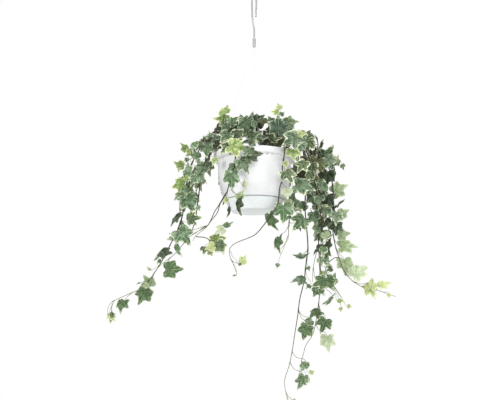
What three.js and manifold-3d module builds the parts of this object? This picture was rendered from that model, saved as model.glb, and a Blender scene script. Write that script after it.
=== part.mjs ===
// A variegated English ivy in a white hanging pot, held by a clear plastic hanger. Millimetres, +Z up.
// The origin is where the hook bears on what holds it.
import * as THREE from 'three';
import { mergeVertices } from 'three/addons/utils/BufferGeometryUtils.js';
import Module from 'manifold-3d';

const wasm = await Module();
wasm.setup();

// Pot and saucer. Heights are below the rim's top.
const rimRadius = 75;
const rimBand = 10.8;
const bodyRadius = 67;
const wall = 1.5;
const shoulderRadius = 53.6;
const shoulderDepth = 84;
const footRadius = 46;
const potDepth = 94;
const saucerFoot = 41;
const saucerDepth = 105;
const fitGap = 0.4;
const roundSides = 24;
const drainHoles = 3;
const drainRadius = 3;
const drainCircle = 30;

// Soil
const soilTop = -12;
const soilCrown = 3;
const rootDepth = 10;

// Hanger
const hookSeat = 332;
const wireRadius = 1.75;
const bowRadius = 16;
const collarBottom = 213;
const collarTop = 232;
const collarRadius = 3;
const strandRadius = 0.8;
const strapAngles = [35, -85, 155];
const clipWidth = 6;
const clipThickness = 1.6;

// Ivy
const bladeThickness = 0.8;
const lengthShare = 0.88;
const midShare = 0.42;
const petioleHalfWidth = 0.7;
const petioleDepth = 1.1;
const rootShare = 0.5;
const kneeLength = 3.5;
const stemRadius = 1.5;
const stemSides = 3;
const youngSize = 26;
const edgeOn = 40;
const bluntBend = 0.6;
const internode = 18;
const sampleStep = 4.5;
const bladeClearance = 4.1;
const stemClearance = 3.6;
const ownClearance = 2.4;
const potClearance = 2.6;

// The stems were read off from this point, in front of the plant and level with its trailing ends.
const eye = new THREE.Vector3(-8, -1100, -281);

const white = { color: 0xf3f5f5, roughness: 0.3, metalness: 0 };
const paleGrey = { color: 0xe3e7ea, roughness: 0.35, metalness: 0 };
const clear = { color: 0xd4d8da, roughness: 0.2, metalness: 0 };
const earth = { color: 0x2e231b, roughness: 0.95, metalness: 0 };
const leafGreen = { color: 0x567a52, roughness: 0.5, metalness: 0 };

const plant = new THREE.Group();
plant.position.z = -hookSeat;

// A closed geometry as a solid, with its faces turned outwards
function solidOf(geometry) {
  geometry.deleteAttribute('normal');
  geometry.deleteAttribute('uv');
  const merged = mergeVertices(geometry, 1e-4);
  const index = merged.index.array;
  const place = merged.attributes.position.array;
  const faces = [];
  for (let i = 0; i < index.length; i += 3) {
    const [a, b, c] = [index[i], index[i + 1], index[i + 2]];
    if (a !== b && b !== c && c !== a) faces.push(a, b, c);
  }
  if (signedVolume(place, faces) < 0) faces.reverse();
  return new wasm.Manifold(new wasm.Mesh({
    numProp: 3, vertProperties: Float32Array.from(place), triVerts: Uint32Array.from(faces),
  }));
}

function signedVolume(place, faces) {
  let sum = 0;
  for (let i = 0; i < faces.length; i += 3) {
    const [a, b, c] = [0, 1, 2].map((k) => new THREE.Vector3().fromArray(place, 3 * faces[i + k]));
    sum += a.dot(b.cross(c));
  }
  return sum;
}

function addPart(name, solid, look) {
  const mesh = solid.getMesh();
  const geometry = new THREE.BufferGeometry();
  geometry.setAttribute('position', new THREE.BufferAttribute(mesh.vertProperties, 3));
  geometry.setIndex(new THREE.BufferAttribute(mesh.triVerts, 1));
  geometry.computeVertexNormals();
  const part = new THREE.Mesh(geometry, new THREE.MeshStandardMaterial(look));
  part.name = name;
  plant.add(part);
}

// A profile of [radius, height] pairs turned about the Z axis
function turned(profile, sides = roundSides) {
  const points = profile.map(([r, z]) => new THREE.Vector2(r, z));
  return solidOf(new THREE.LatheGeometry(points, sides).rotateX(Math.PI / 2));
}

function regularShape(radius, sides) {
  const shape = new THREE.Shape();
  for (let i = 0; i < sides; i += 1) {
    const angle = (2 * Math.PI * i) / sides;
    const [x, y] = [radius * Math.cos(angle), radius * Math.sin(angle)];
    if (i === 0) shape.moveTo(x, y);
    else shape.lineTo(x, y);
  }
  shape.closePath();
  return shape;
}

function tube(curve, radius, sides, steps) {
  const settings = { extrudePath: curve, steps, bevelEnabled: false };
  return solidOf(new THREE.ExtrudeGeometry(regularShape(radius, sides), settings));
}

function upright(x, y, bottom, top, radius, sides) {
  const settings = { depth: top - bottom, bevelEnabled: false };
  const post = new THREE.ExtrudeGeometry(regularShape(radius, sides), settings);
  return solidOf(post.translate(x, y, bottom));
}

// The inner wall of the pot, which the soil fills, from its floor up
const innerWall = [
  [footRadius - wall, -potDepth + wall],
  [shoulderRadius - 5.8, -shoulderDepth + 0.8],
  [shoulderRadius - wall, -shoulderDepth + 3],
  [61.5, -61],
  [bodyRadius - wall - 0.2, -rimBand - 1.8],
];

function makePot() {
  const outside = [
    [bodyRadius, -rimBand],
    [rimRadius, -rimBand],
    [rimRadius, -1],
    [rimRadius - 1, 0],
    [rimRadius - 3.2, 0],
    [rimRadius - 3.2, -rimBand + wall],
  ];
  const below = [
    [0, -potDepth],
    [footRadius, -potDepth],
    [shoulderRadius - 4.4, -shoulderDepth - 0.1],
    [shoulderRadius, -shoulderDepth],
    [58.4, -75],
    [63, -61],
    [66.3, -38],
  ];
  const inside = [...innerWall].reverse();
  let pot = turned([...below, ...outside, ...inside, [0, -potDepth + wall]]);
  for (let i = 0; i < drainHoles; i += 1) {
    const angle = (2 * Math.PI * i) / drainHoles;
    const [x, y] = [drainCircle * Math.cos(angle), drainCircle * Math.sin(angle)];
    pot = pot.subtract(upright(x, y, -potDepth - 1, -potDepth + wall + 1, drainRadius, 6));
  }
  addPart('pot', pot, white);
}

function makeSaucer() {
  const lip = -shoulderDepth - fitGap - 0.1;
  addPart('saucer', turned([
    [0, -saucerDepth + 1],
    [saucerFoot - 3, -saucerDepth + 1],
    [saucerFoot - 3, -saucerDepth],
    [saucerFoot + 0.6, -saucerDepth],
    [saucerFoot + 2, -saucerDepth + 1.4],
    [shoulderRadius + 0.4, lip],
    [shoulderRadius - 1.6, lip],
    [saucerFoot + 0.6, -saucerDepth + 2.9],
    [0, -saucerDepth + 2.9],
  ]), paleGrey);
}

function makeSoil(roots) {
  const side = innerWall.slice(0, 4).map(([r, z], i) => [r - fitGap, i === 0 ? z + fitGap : z]);
  const rim = bodyRadius - wall - 0.2 - fitGap;
  const top = [[rim, soilTop], [34, soilTop + soilCrown]];
  let soil = turned([[0, side[0][1]], ...side, ...top, [0, soilTop + soilCrown]]);
  for (const [x, y] of roots) {
    const hole = stemRadius + 0.5;
    soil = soil.subtract(upright(x, y, soilTop - rootDepth - 0.5, soilTop + 9, hole, 6));
  }
  addPart('soil', soil, earth);
}

// The hook is seen nearly edge on, so its plane runs almost straight away from the viewer.
function makeHanger() {
  const across = new THREE.Vector3(-0.25, 0.968, 0);
  const bowCentre = hookSeat + wireRadius - bowRadius;
  const at = (u, z) => across.clone().multiplyScalar(u).setZ(z);
  const wire = [at(0, collarTop - 4), at(0, 246), at(6, 262), at(14, 282), at(bowRadius, 300)];
  for (let angle = 0; angle <= 180; angle += 30) {
    const turn = THREE.MathUtils.degToRad(angle);
    wire.push(at(bowRadius * Math.cos(turn), bowCentre + bowRadius * Math.sin(turn)));
  }
  wire.push(at(-bowRadius, 298), at(-bowRadius + 1, 284), at(-bowRadius + 4, 270));
  const hook = tube(new THREE.CatmullRomCurve3(wire), wireRadius, 6, 20);
  const collar = turned([
    [0, collarBottom], [collarRadius - 0.6, collarBottom], [collarRadius, collarBottom + 2],
    [collarRadius, collarTop - 4], [wireRadius + 0.3, collarTop], [0, collarTop],
  ], 8);
  addPart('hanger_hook', hook.add(collar), clear);

  strapAngles.forEach((angle, i) => {
    const turn = THREE.MathUtils.degToRad(angle);
    const clip = new THREE.Shape();
    const [inner, outer] = [rimRadius + fitGap, rimRadius + fitGap + clipThickness];
    const [foot, under] = [bodyRadius + 2.4, -rimBand - fitGap];
    clip.moveTo(inner, 5);
    clip.lineTo(inner, under);
    clip.lineTo(foot, under);
    clip.lineTo(foot, under - clipThickness);
    clip.lineTo(outer, under - clipThickness);
    clip.lineTo(outer, 5);
    clip.closePath();
    const plate = new THREE.ExtrudeGeometry(clip, { depth: clipWidth, bevelEnabled: false });
    plate.translate(0, 0, -clipWidth / 2).rotateX(Math.PI / 2).rotateZ(turn);
    const way = strapWay(turn);
    const strand = tube(new THREE.LineCurve3(way[0], way[1]), strandRadius, 4, 1);
    addPart(`hanger_strap_${i + 1}`, solidOf(plate).add(strand), clear);
  });
}

// A strap's two ends: just under the collar, and in its clip outside the rim
function strapWay(turn) {
  const out = rimRadius + fitGap + clipThickness / 2;
  const near = 1.3;
  return [
    new THREE.Vector3(near * Math.cos(turn), near * Math.sin(turn), collarBottom - 1.1),
    new THREE.Vector3(out * Math.cos(turn), out * Math.sin(turn), 2.5),
  ];
}

// The same draws for the same leaf every time
function drawsFor(seed) {
  let state = (seed * 7919 + 104729) % 2147483647;
  const next = () => {
    state = (state * 16807) % 2147483647;
    return state / 2147483647;
  };
  next();
  next();
  return next;
}

// A place seen at x, z on the plane through the pot's axis, carried along the line of sight to depth y
function seenAt(x, z, y) {
  const reach = (y - eye.y) / -eye.y;
  return new THREE.Vector3(x, 0, z).sub(eye).multiplyScalar(reach).add(eye);
}

// Half outlines from tip to base: degrees from the tip, distance from the notch, lift of the blade.
// The blade is creased along each ray, with its lobes bent down and its bays raised.
const fullLeaf = [[24, 0.58, 0.035], [50, 0.74, -0.05], [81, 0.49, 0.04], [114, 0.52, -0.03]];
const youngLeaf = [[26, 0.57, 0.03], [55, 0.67, -0.04], [108, 0.47, 0.02]];
const tipDroop = -0.1;

// A leaf from its centre, the way its tip points, the way it faces, its size and its node on the stem
function shapeLeaf(centre, tip, face, size, node, curl) {
  const length = size * lengthShare;
  const up = face.clone().addScaledVector(tip, -face.dot(tip)).normalize();
  const side = tip.clone().cross(up);
  const notch = centre.clone().addScaledVector(tip, -midShare * length);
  const half = size < youngSize ? youngLeaf : fullLeaf;
  const rays = [
    ...[...half].reverse(),
    [0, 1, tipDroop],
    ...half.map(([a, r, h]) => [-a, r, h]),
  ];
  const edge = rays.map(([degrees, r, lift]) => {
    const angle = THREE.MathUtils.degToRad(degrees);
    return notch.clone()
      .addScaledVector(side, length * r * Math.sin(angle))
      .addScaledVector(tip, length * r * Math.cos(angle))
      .addScaledVector(up, length * lift * curl);
  });
  const knee = notch.clone().addScaledVector(tip, -kneeLength);
  return { notch, tip, up, side, edge, knee, node, centre, reach: length * 0.75 };
}

// Points spread over the blade and along the petiole, to keep leaves clear of each other
function samplesOf(leaf) {
  const ends = [...leaf.edge];
  for (let i = 1; i < leaf.edge.length; i += 1) {
    ends.push(leaf.edge[i - 1].clone().lerp(leaf.edge[i], 0.5));
  }
  const blade = [leaf.notch];
  for (const end of ends) blade.push(...between(leaf.notch, end, sampleStep));
  return { blade, petiole: between(leaf.knee, leaf.node, sampleStep) };
}

function between(from, to, step) {
  const count = Math.max(1, Math.ceil(from.distanceTo(to) / step));
  return Array.from({ length: count }, (_, i) => from.clone().lerp(to, (i + 1) / count));
}

// A vector carried by the turn that takes one direction to another
function turnedTo(v, from, to) {
  const sum = from.clone().add(to);
  const share = sum.dot(v) / (1 + from.dot(to));
  return v.clone().addScaledVector(sum, -share).addScaledVector(to, 2 * from.dot(v));
}

// Blade and petiole as one closed body: rings of three points run from the notch to inside the stem
function leafSolid(leaf) {
  const { notch, tip, up, side, edge, knee, node } = leaf;
  const place = [];
  const faces = [];
  // Keeps a point and gives its number
  const add = (p) => place.push(p.x, p.y, p.z) / 3 - 1;
  const ring = (c, e1, e2, w, h) => [
    add(c.clone().addScaledVector(e1, w).addScaledVector(e2, h / 2)),
    add(c.clone().addScaledVector(e1, -w).addScaledVector(e2, h / 2)),
    add(c.clone().addScaledVector(e2, -h / 2)),
  ];
  const top = edge.map((p) => add(p.clone().addScaledVector(up, bladeThickness / 2)));
  const bottom = edge.map((p) => add(p.clone().addScaledVector(up, -bladeThickness / 2)));
  let last = ring(notch, side, up, petioleHalfWidth, bladeThickness);
  const [right, left, under] = last;
  const end = edge.length - 1;
  const middle = end / 2;
  for (let i = 0; i < end; i += 1) {
    faces.push(i < middle ? right : left, top[i], top[i + 1], under, bottom[i + 1], bottom[i]);
    faces.push(bottom[i], bottom[i + 1], top[i + 1], bottom[i], top[i + 1], top[i]);
  }
  faces.push(right, top[middle], left);
  faces.push(under, bottom[0], top[0], under, top[0], right);
  faces.push(bottom[end], under, left, bottom[end], left, top[end]);

  const away = tip.clone().negate();
  const run = node.clone().sub(knee).normalize();
  const bend = away.clone().add(run).normalize();
  const rings = run.dot(away) > bluntBend ? [[node, run]] : [[knee, bend], [node, run]];
  for (const [centre, axis] of rings) {
    const [e1, e2] = [turnedTo(side, away, axis), turnedTo(up, away, axis)];
    const share = centre === node ? rootShare : 1;
    const next = ring(centre, e1, e2, petioleHalfWidth * share, petioleDepth * share);
    for (const [u, v] of [[0, 1], [1, 2], [2, 0]]) {
      faces.push(last[u], last[v], next[v], last[u], next[v], next[u]);
    }
    last = next;
  }
  faces.push(...last);
  return new wasm.Manifold(new wasm.Mesh({
    numProp: 3, vertProperties: Float32Array.from(place), triVerts: Uint32Array.from(faces),
  }));
}

// Outer radius of pot and saucer at a height, for what hangs beside them
function potRadiusAt(z) {
  if (z > 0 || z < -saucerDepth) return 0;
  if (z > -rimBand - 3) return rimRadius;
  if (z > -40) return bodyRadius;
  if (z > -shoulderDepth) return THREE.MathUtils.mapLinear(z, -40, -shoulderDepth, bodyRadius, 56);
  return THREE.MathUtils.mapLinear(z, -shoulderDepth, -saucerDepth, 54, 43);
}

function clearOfPot(p) {
  const r = Math.hypot(p.x, p.y);
  if (r < rimRadius - 6 && p.z > soilTop) return p.z > soilTop + soilCrown + 2;
  return p.z > potClearance || p.z < -saucerDepth - potClearance || r > potRadiusAt(p.z) + potClearance;
}

// Each plant is a cutting of its own. A stem has its root on the soil at x, y, or springs from a point of
// the plant's first stem. Its route is seen x, seen z and depth y. Its leaves are seen x, seen z, size, the
// way the tip points in degrees from +X, and how far the blade is turned edge on. A leaf turned more than
// edgeOn degrees starts nearly square to the line of sight, and the others face about.
const plants = [
  { name: 'ivy_left_front', stems: [
    { root: [-24, -44], route: [[-27, 14, -50], [-31, 31, -62], [-34, 31, -74], [-35, 8, -82],
      [-36, -18, -81], [-44, -45, -78], [-50, -68, -76], [-56, -79, -74], [-63, -92, -72],
      [-67, -106, -70], [-78, -121, -68], [-88, -134, -66], [-104, -147, -63], [-111, -158, -60]],
    leaves: [[-42, -48, 31, 272, 0], [-18, -20, 30, 305, 0], [-43, -24, 18, 210, 20],
      [-15, -50, 16, 60, 50], [-24, -72, 20, 65, 30], [-27, -96, 30, 268, 68], [-47, -106, 21, 262, 76],
      [-53, -85, 12, 250, 30], [-28, 14, 37, 345, 0], [0, 20, 18, 275, 40], [-53, 12, 26, 225, 20]] },
    { from: 7, route: [[-66, -95, -79], [-72, -104, -78], [-77, -116, -76], [-85, -130, -74],
      [-101, -140, -72], [-113, -146, -70]],
    leaves: [[-126, -151, 37, 312, 0], [-136, -176, 24, 285, 60]] },
    { from: 12, route: [[-94, -151, -62], [-84, -154, -61], [-76, -163, -60]],
      leaves: [[-64, -140, 20, 215, 10], [-46, -127, 20, 20, 76], [-63, -155, 26, 20, 0],
      [-60, -172, 26, 300, 10], [-81, -170, 19, 200, 0], [-90, -176, 15, 265, 20],
      [-78, -181, 11, 300, 0]] },
  ] },
  { name: 'ivy_left_outer', stems: [
    { root: [-46, -18], route: [[-52, 14, -19], [-62, 24, -20], [-74, 16, -22], [-84, -3, -23],
      [-94, -20, -22], [-99, -46, -20], [-101, -70, -19], [-104, -97, -18], [-109, -128, -16],
      [-120, -152, -15], [-140, -178, -14], [-152, -189, -13], [-165, -199, -12], [-172, -206, -12]],
    leaves: [[-87, 9, 27, 268, 0], [-105, -11, 11, 190, 20], [-101, -27, 28, 215, 0],
      [-97, -43, 28, 330, 10], [-112, -48, 24, 235, 15], [-117, -91, 39, 298, 0], [-108, -116, 27, 5, 20],
      [-101, -99, 11, 300, 30], [-143, -209, 33, 2, 0], [-126, -70, 20, 280, 30], [-74, -12, 17, 245, 20],
      [-60, 20, 20, 200, 30]] },
  ] },
  { name: 'ivy_left_tail', stems: [
    { root: [-50, 4], route: [[-57, 18, 5], [-68, 34, 8], [-84, 32, 12], [-100, 14, 15], [-112, -8, 14],
      [-121, -34, 12], [-125, -62, 10], [-128, -90, 8], [-131, -114, 6], [-140, -142, 4], [-150, -162, 4],
      [-160, -184, 4], [-172, -205, 4], [-186, -226, 3], [-198, -241, 2], [-215, -249, 1],
      [-240, -260, 0], [-254, -268, 0], [-259, -280, 0], [-257, -289, 0]],
    leaves: [[-140, -16, 22, 165, 50], [-138, -24, 17, 250, 20], [-122, -25, 30, 95, 48],
      [-140, -57, 26, 195, 30], [-135, -45, 15, 150, 30], [-117, -62, 24, 300, 20],
      [-130, -76, 22, 260, 20], [-140, -78, 20, 215, 10], [-143, -120, 29, 225, 25],
      [-133, -134, 13, 200, 10], [-147, -147, 16, 170, 70], [-151, -154, 17, 190, 70],
      [-167, -183, 32, 207, 45], [-172, -196, 12, 225, 20], [-189, -207, 10, 140, 60],
      [-191, -229, 26, 118, 10], [-190, -239, 14, 330, 20], [-198, -258, 31, 245, 20],
      [-189, -250, 15, 300, 20], [-207, -234, 10, 205, 40], [-234, -275, 26, 255, 25],
      [-257, -292, 12, 230, 10], [-249, -295, 13, 300, 10], [-249, -288, 10, 5, 40],
      [-253, -300, 9, 255, 20]] },
  ] },
  { name: 'ivy_left_crown', stems: [
    { root: [-36, 22], route: [[-42, 20, 24], [-52, 38, 28], [-70, 46, 32], [-86, 40, 34], [-98, 26, 34],
      [-108, 8, 33], [-118, -8, 32]],
    leaves: [[-80, 38, 27, 105, 0], [-60, 45, 20, 160, 20], [-101, 22, 28, 150, 10],
      [-118, 4, 22, 205, 0], [-131, 17, 20, 125, 0], [-124, 8, 12, 200, 10], [-92, 30, 24, 100, 40],
      [-112, 16, 22, 250, 40], [-72, 30, 26, 230, 30], [-86, 24, 22, 285, 30], [-106, -4, 19, 280, 30]] },
    { from: 1, route: [[-57, 50, 20], [-58, 64, 18], [-57, 76, 17], [-55, 86, 17]],
      leaves: [[-63, 69, 30, 168, 0], [-60, 86, 18, 108, 0], [-51, 91, 16, 78, 10], [-48, 66, 14, 30, 40]] },
  ] },
  { name: 'ivy_crown_mid', stems: [
    { root: [-20, -12], route: [[-23, 14, -12], [-26, 32, -14], [-28, 48, -14], [-26, 62, -14]],
      leaves: [[-38, 68, 24, 40, 10], [-23, 70, 22, 110, 20], [-15, 52, 36, 275, 0],
      [-45, 46, 22, 200, 20], [-34, 36, 24, 250, 20], [-42, 57, 22, 160, 30], [-56, 57, 22, 140, 40],
      [-55, 34, 26, 235, 30], [-30, 52, 24, 210, 40]] },
    { from: 1, route: [[-16, 40, -10], [-8, 52, -6], [-3, 62, -4]],
      leaves: [[-5, 72, 26, 68, 40], [10, 72, 24, 33, 45], [16, 63, 18, 265, 20], [-9, 34, 26, 250, 0],
      [2, 40, 22, 320, 30], [0, 56, 20, 280, 40], [14, 36, 26, 345, 60], [-12, 66, 20, 95, 30]] },
  ] },
  { name: 'ivy_front_short', stems: [
    { root: [-2, -48], route: [[-3, 20, -50], [-7, 32, -64], [-8, 30, -78], [-5, 12, -86], [-1, -1, -88]],
      leaves: [[1, 2, 30, 10, 10], [-14, 6, 18, 225, 30], [-12, 26, 24, 180, 20], [4, 36, 20, 60, 40]] },
  ] },
  { name: 'ivy_hero', stems: [
    { root: [24, -22], route: [[26, 12, -23], [30, 28, -25], [37, 40, -27], [42, 50, -22], [44, 66, -16],
      [44, 80, -12]],
    leaves: [[46, 60, 43, 86, 0], [37, 84, 17, 172, 0], [46, 96, 13, 110, 0], [53, 81, 10, 40, 20],
      [30, 69, 17, 120, 30], [24, 38, 30, 170, 68], [38, 34, 26, 340, 72], [58, 34, 20, 300, 40],
      [28, 52, 18, 200, 40]] },
    { from: 2, route: [[50, 46, -22], [58, 54, -18]],
      leaves: [[70, 64, 28, 12, 10], [70, 46, 26, 330, 30], [88, 41, 20, 10, 20]] },
  ] },
  { name: 'ivy_right_front', stems: [
    { root: [38, -34], route: [[42, 16, -40], [49, 30, -52], [55, 30, -63], [56, 8, -70], [52, -18, -70],
      [51, -44, -69], [46, -62, -69], [43, -88, -68], [37, -100, -66], [20, -125, -62], [3, -145, -58],
      [-12, -153, -54], [-30, -160, -50], [-42, -168, -47], [-45, -178, -46], [-42, -191, -45],
      [-35, -204, -44], [-32, -213, -44], [-32, -220, -44]],
    leaves: [[64, -41, 31, 300, 0], [60, -72, 20, 275, 20], [72, 1, 27, 277, 0], [66, 27, 36, 215, 0],
      [-19, -190, 18, 62, 0], [-25, -200, 7, 330, 20], [58, -18, 13, 280, 30],
      [-37, -220, 6, 200, 30]] },
  ] },
  { name: 'ivy_right_second', stems: [
    { root: [48, -14], route: [[54, 14, -19], [64, 28, -29], [75, 24, -38], [81, -4, -43], [78, -40, -44],
      [73, -72, -44], [67, -100, -44], [62, -125, -43], [61, -150, -42], [57, -160, -42], [48, -172, -42]],
    leaves: [[53, -109, 36, 268, 0], [34, -125, 34, 292, 66], [44, -166, 32, 266, 62],
      [80, -127, 34, 228, 0], [62, -90, 22, 260, 20], [74, -90, 32, 298, 70], [41, -203, 9, 255, 10],
      [94, -60, 38, 345, 0], [84, 12, 26, 250, 20], [86, -22, 26, 235, 20]] },
  ] },
  { name: 'ivy_right_long', stems: [
    { root: [54, 6], route: [[60, 18, 7], [72, 30, 8], [86, 22, 8], [92, -4, 6], [94, -40, 3],
      [93, -70, 0], [92, -100, -3], [94, -130, -4], [96, -170, -4], [92, -200, -4], [88, -230, -4],
      [80, -262, -4], [76, -290, -4], [70, -324, -4], [66, -348, -4], [60, -375, -4], [52, -399, -4],
      [53, -416, -4], [58, -434, -4], [61, -448, -4]],
    leaves: [[77, -229, 27, 178, 48], [87, -184, 28, 5, 80], [97, -208, 9, 290, 30],
      [95, -240, 11, 215, 20], [88, -320, 28, 248, 10], [85, -378, 20, 245, 35], [80, -404, 27, 248, 30],
      [93, -304, 20, 215, 20], [92, 36, 20, 30, 30], [104, -28, 28, 260, 10], [84, -96, 24, 200, 20],
      [68, -440, 16, 300, 10], [56, -455, 14, 262, 0], [106, -66, 28, 290, 20]] },
  ] },
  { name: 'ivy_right_mid', stems: [
    { root: [44, 24], route: [[52, 22, 27], [66, 36, 30], [86, 35, 31], [101, 18, 30], [109, -10, 28],
      [112, -50, 25], [114, -95, 22], [115, -140, 20], [116, -190, 18], [117, -230, 16], [115, -256, 15],
      [109, -295, 14], [102, -322, 13], [90, -340, 12], [85, -356, 12], [80, -374, 12], [77, -394, 12]],
    leaves: [[98, 18, 34, 265, 40], [110, -22, 36, 250, 0],
      [112, -55, 30, 235, 0], [108, -84, 28, 280, 0], [118, -102, 28, 240, 20], [110, -118, 26, 285, 10],
      [105, -288, 27, 205, 30], [121, -308, 29, 248, 0], [128, -339, 30, 272, 22], [93, -400, 10, 300, 20],
      [100, -386, 10, 20, 20], [116, 31, 22, 100, 80], [116, 12, 16, 262, 70], [112, -240, 18, 240, 20]] },
  ] },
  { name: 'ivy_right_dense', stems: [
    { root: [26, 40], route: [[36, 26, 44], [56, 41, 49], [80, 42, 52], [103, 26, 52], [118, 0, 50],
      [127, -36, 46], [128, -75, 42], [124, -115, 38], [119, -145, 36], [112, -175, 35], [105, -205, 34],
      [103, -232, 34]],
    leaves: [[132, -45, 34, 262, 10], [128, -87, 36, 245, 0], [136, -106, 30, 285, 20],
      [126, -126, 24, 250, 0], [118, -130, 26, 265, 20], [134, -130, 20, 280, 30],
      [108, -250, 20, 235, 20], [112, -152, 18, 240, 30],
      [124, -14, 30, 20, 20], [98, 40, 22, 60, 20], [125, 24, 19, 80, 70], [112, -70, 26, 200, 20]] },
  ] },
  { name: 'ivy_right_inner', stems: [
    { root: [52, -2], route: [[62, 16, -4], [78, 24, -8], [94, 12, -12], [104, -16, -14], [112, -60, -14],
      [119, -100, -13], [122, -140, -12], [119, -170, -12], [118, -205, -12], [120, -238, -12],
      [125, -256, -12]],
    leaves: [[133, -171, 28, 268, 70], [124, -178, 18, 265, 40], [114, -233, 27, 205, 30],
      [135, -235, 27, 300, 10], [129, -264, 28, 217, 72], [100, -42, 24, 240, 20], [128, -62, 28, 300, 20],
      [118, -86, 24, 260, 30], [128, -108, 26, 262, 10], [112, -140, 20, 250, 30],
      [127, -196, 14, 262, 20], [120, -250, 12, 300, 30]] },
  ] },
  { name: 'ivy_right_outer', stems: [
    { root: [40, 40], route: [[52, 26, 46], [76, 33, 54], [101, 25, 60], [121, 6, 62], [135, -18, 60],
      [142, -46, 54], [144, -90, 48], [141, -130, 44], [145, -165, 42], [152, -190, 40], [160, -212, 38],
      [173, -228, 37], [190, -239, 36], [208, -243, 35], [222, -247, 34], [236, -252, 34],
      [250, -257, 34]],
    leaves: [[136, 4, 40, 62, 0], [153, -8, 21, 84, 30], [163, -22, 13, 280, 40], [146, -36, 28, 262, 74],
      [157, -62, 33, 28, 0], [157, -88, 26, 48, 74], [163, -106, 24, 35, 0], [148, -118, 28, 265, 0],
      [147, -137, 26, 262, 0], [162, -146, 25, 8, 20], [170, -168, 36, 2, 28], [162, -205, 34, 275, 10],
      [190, -211, 38, 38, 22], [208, -234, 24, 75, 0], [208, -248, 30, 300, 0], [232, -235, 25, 20, 20],
      [238, -256, 10, 280, 0], [140, -16, 30, 300, 20]] },
    { from: 9, route: [[142, -189, 35], [130, -200, 34], [127, -212, 34], [131, -224, 34],
      [143, -241, 33], [154, -258, 33]],
    leaves: [[141, -224, 21, 70, 10], [154, -265, 15, 350, 35], [152, -280, 9, 262, 20],
      [168, -274, 9, 350, 20]] },
  ] },
];

// Stems that go over the back of the rim: name, bearing in degrees, reach beyond the rim, drop, seed
const backStems = [
  ['ivy_back_right', 47, 34, 122, 3],
  ['ivy_back_right_mid', 70, 24, 86, 5],
  ['ivy_back_mid', 92, 30, 70, 8],
  ['ivy_back_left_mid', 113, 24, 86, 12],
  ['ivy_back_left', 121, 14, 62, 17],
  ['ivy_back_far_left', 150, 66, 150, 23],
];

function backPlant([name, bearing, reach, drop, seed]) {
  const draw = drawsFor(seed);
  const turn = THREE.MathUtils.degToRad(bearing);
  const sway = 0.16 * (draw() - 0.5);
  const at = (r, z, swing = 0) => {
    const angle = turn + swing;
    return new THREE.Vector3(r * Math.cos(angle), r * Math.sin(angle), z);
  };
  const start = 46;
  const edge = rimRadius + 4;
  const way = [at(start + 8, 2), at(start + 20, 13), at(edge + 2, 10), at(edge + reach * 0.5, -14)];
  for (let fall = 50; fall <= drop; fall += 36) {
    way.push(at(edge + reach * (0.7 + draw() * 0.3), -fall, sway));
  }
  const root = [start * Math.cos(turn), start * Math.sin(turn)];
  return { name, stems: [{ root, way, seed }] };
}

// A stem's curve starts straight up in its hole in the soil.
function curveOf(stem, first) {
  const points = stem.way ?? stem.route.map(([x, z, y]) => seenAt(x, z, y));
  if (stem.root) {
    const [x, y] = stem.root;
    const [foot, collar] = [soilTop - rootDepth, soilTop + soilCrown + 4];
    points.unshift(new THREE.Vector3(x, y, foot), new THREE.Vector3(x, y, collar));
  } else {
    points.unshift(nearestOf(first.nodes, seenAt(...first.route[stem.from])));
  }
  return new THREE.CatmullRomCurve3(points, false, 'catmullrom', 0.5);
}

function nearestOf(points, place) {
  return points.reduce((best, p) => (p.distanceTo(place) < best.distanceTo(place) ? p : best));
}

// Ways to try a leaf: nearer or farther along the line of sight, which leaves it where it is seen
const ahead = new THREE.Vector3(0, 1, 0);
const depthTries = [-5, 4, -11, 10, -17, 16, -23, 22, -29, 28, -36, 35, -43, 42];

function seenLeaves(stem, seed) {
  return stem.leaves.map(([x, z, size, degrees, turn], k) => {
    const draw = drawsFor(seed + 31 * k + size);
    const lean = 0.7 * (draw() - 0.35);
    const tip = new THREE.Vector3(Math.cos(lean), -Math.sin(lean), 0);
    tip.applyAxisAngle(ahead, -THREE.MathUtils.degToRad(degrees));
    const loose = turn > edgeOn ? 0.2 : 1;
    const face = new THREE.Vector3(loose * 0.8 * (draw() - 0.5), -1, loose * (0.15 + 0.5 * draw()));
    const spin = THREE.MathUtils.degToRad(turn) * (draw() < 0.5 ? -1 : 1);
    const curl = 0.7 + draw();
    const flat = face.addScaledVector(tip, -face.dot(tip)).normalize();
    const turnedFace = flat.applyAxisAngle(tip, spin);
    const bare = stem.root ? stem.nodes.slice(1) : stem.nodes;
    return depthTries.map((offset) => {
      const depth = nearestSeen(bare, x, z).y + offset;
      const centre = seenAt(x, z, depth);
      const knee = centre.clone().addScaledVector(tip, -midShare * lengthShare * size - kneeLength);
      return shapeLeaf(centre, tip, turnedFace, size, nodeFor(stem.nodes, knee), curl);
    });
  });
}

function nearestSeen(nodes, x, z) {
  return nodes.reduce((best, p) => {
    const at = seenAt(x, z, p.y);
    return p.distanceTo(at) < best.distance ? { distance: p.distanceTo(at), y: p.y } : best;
  }, { distance: Infinity, y: 0 });
}

// The node a petiole springs from: one above the nearest, so that it leaves at a slant
function nodeFor(nodes, knee) {
  const nearest = nodes.indexOf(nearestOf(nodes, knee));
  return nodes[Math.max(Math.min(2, nearest), nearest - 1)];
}

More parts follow.
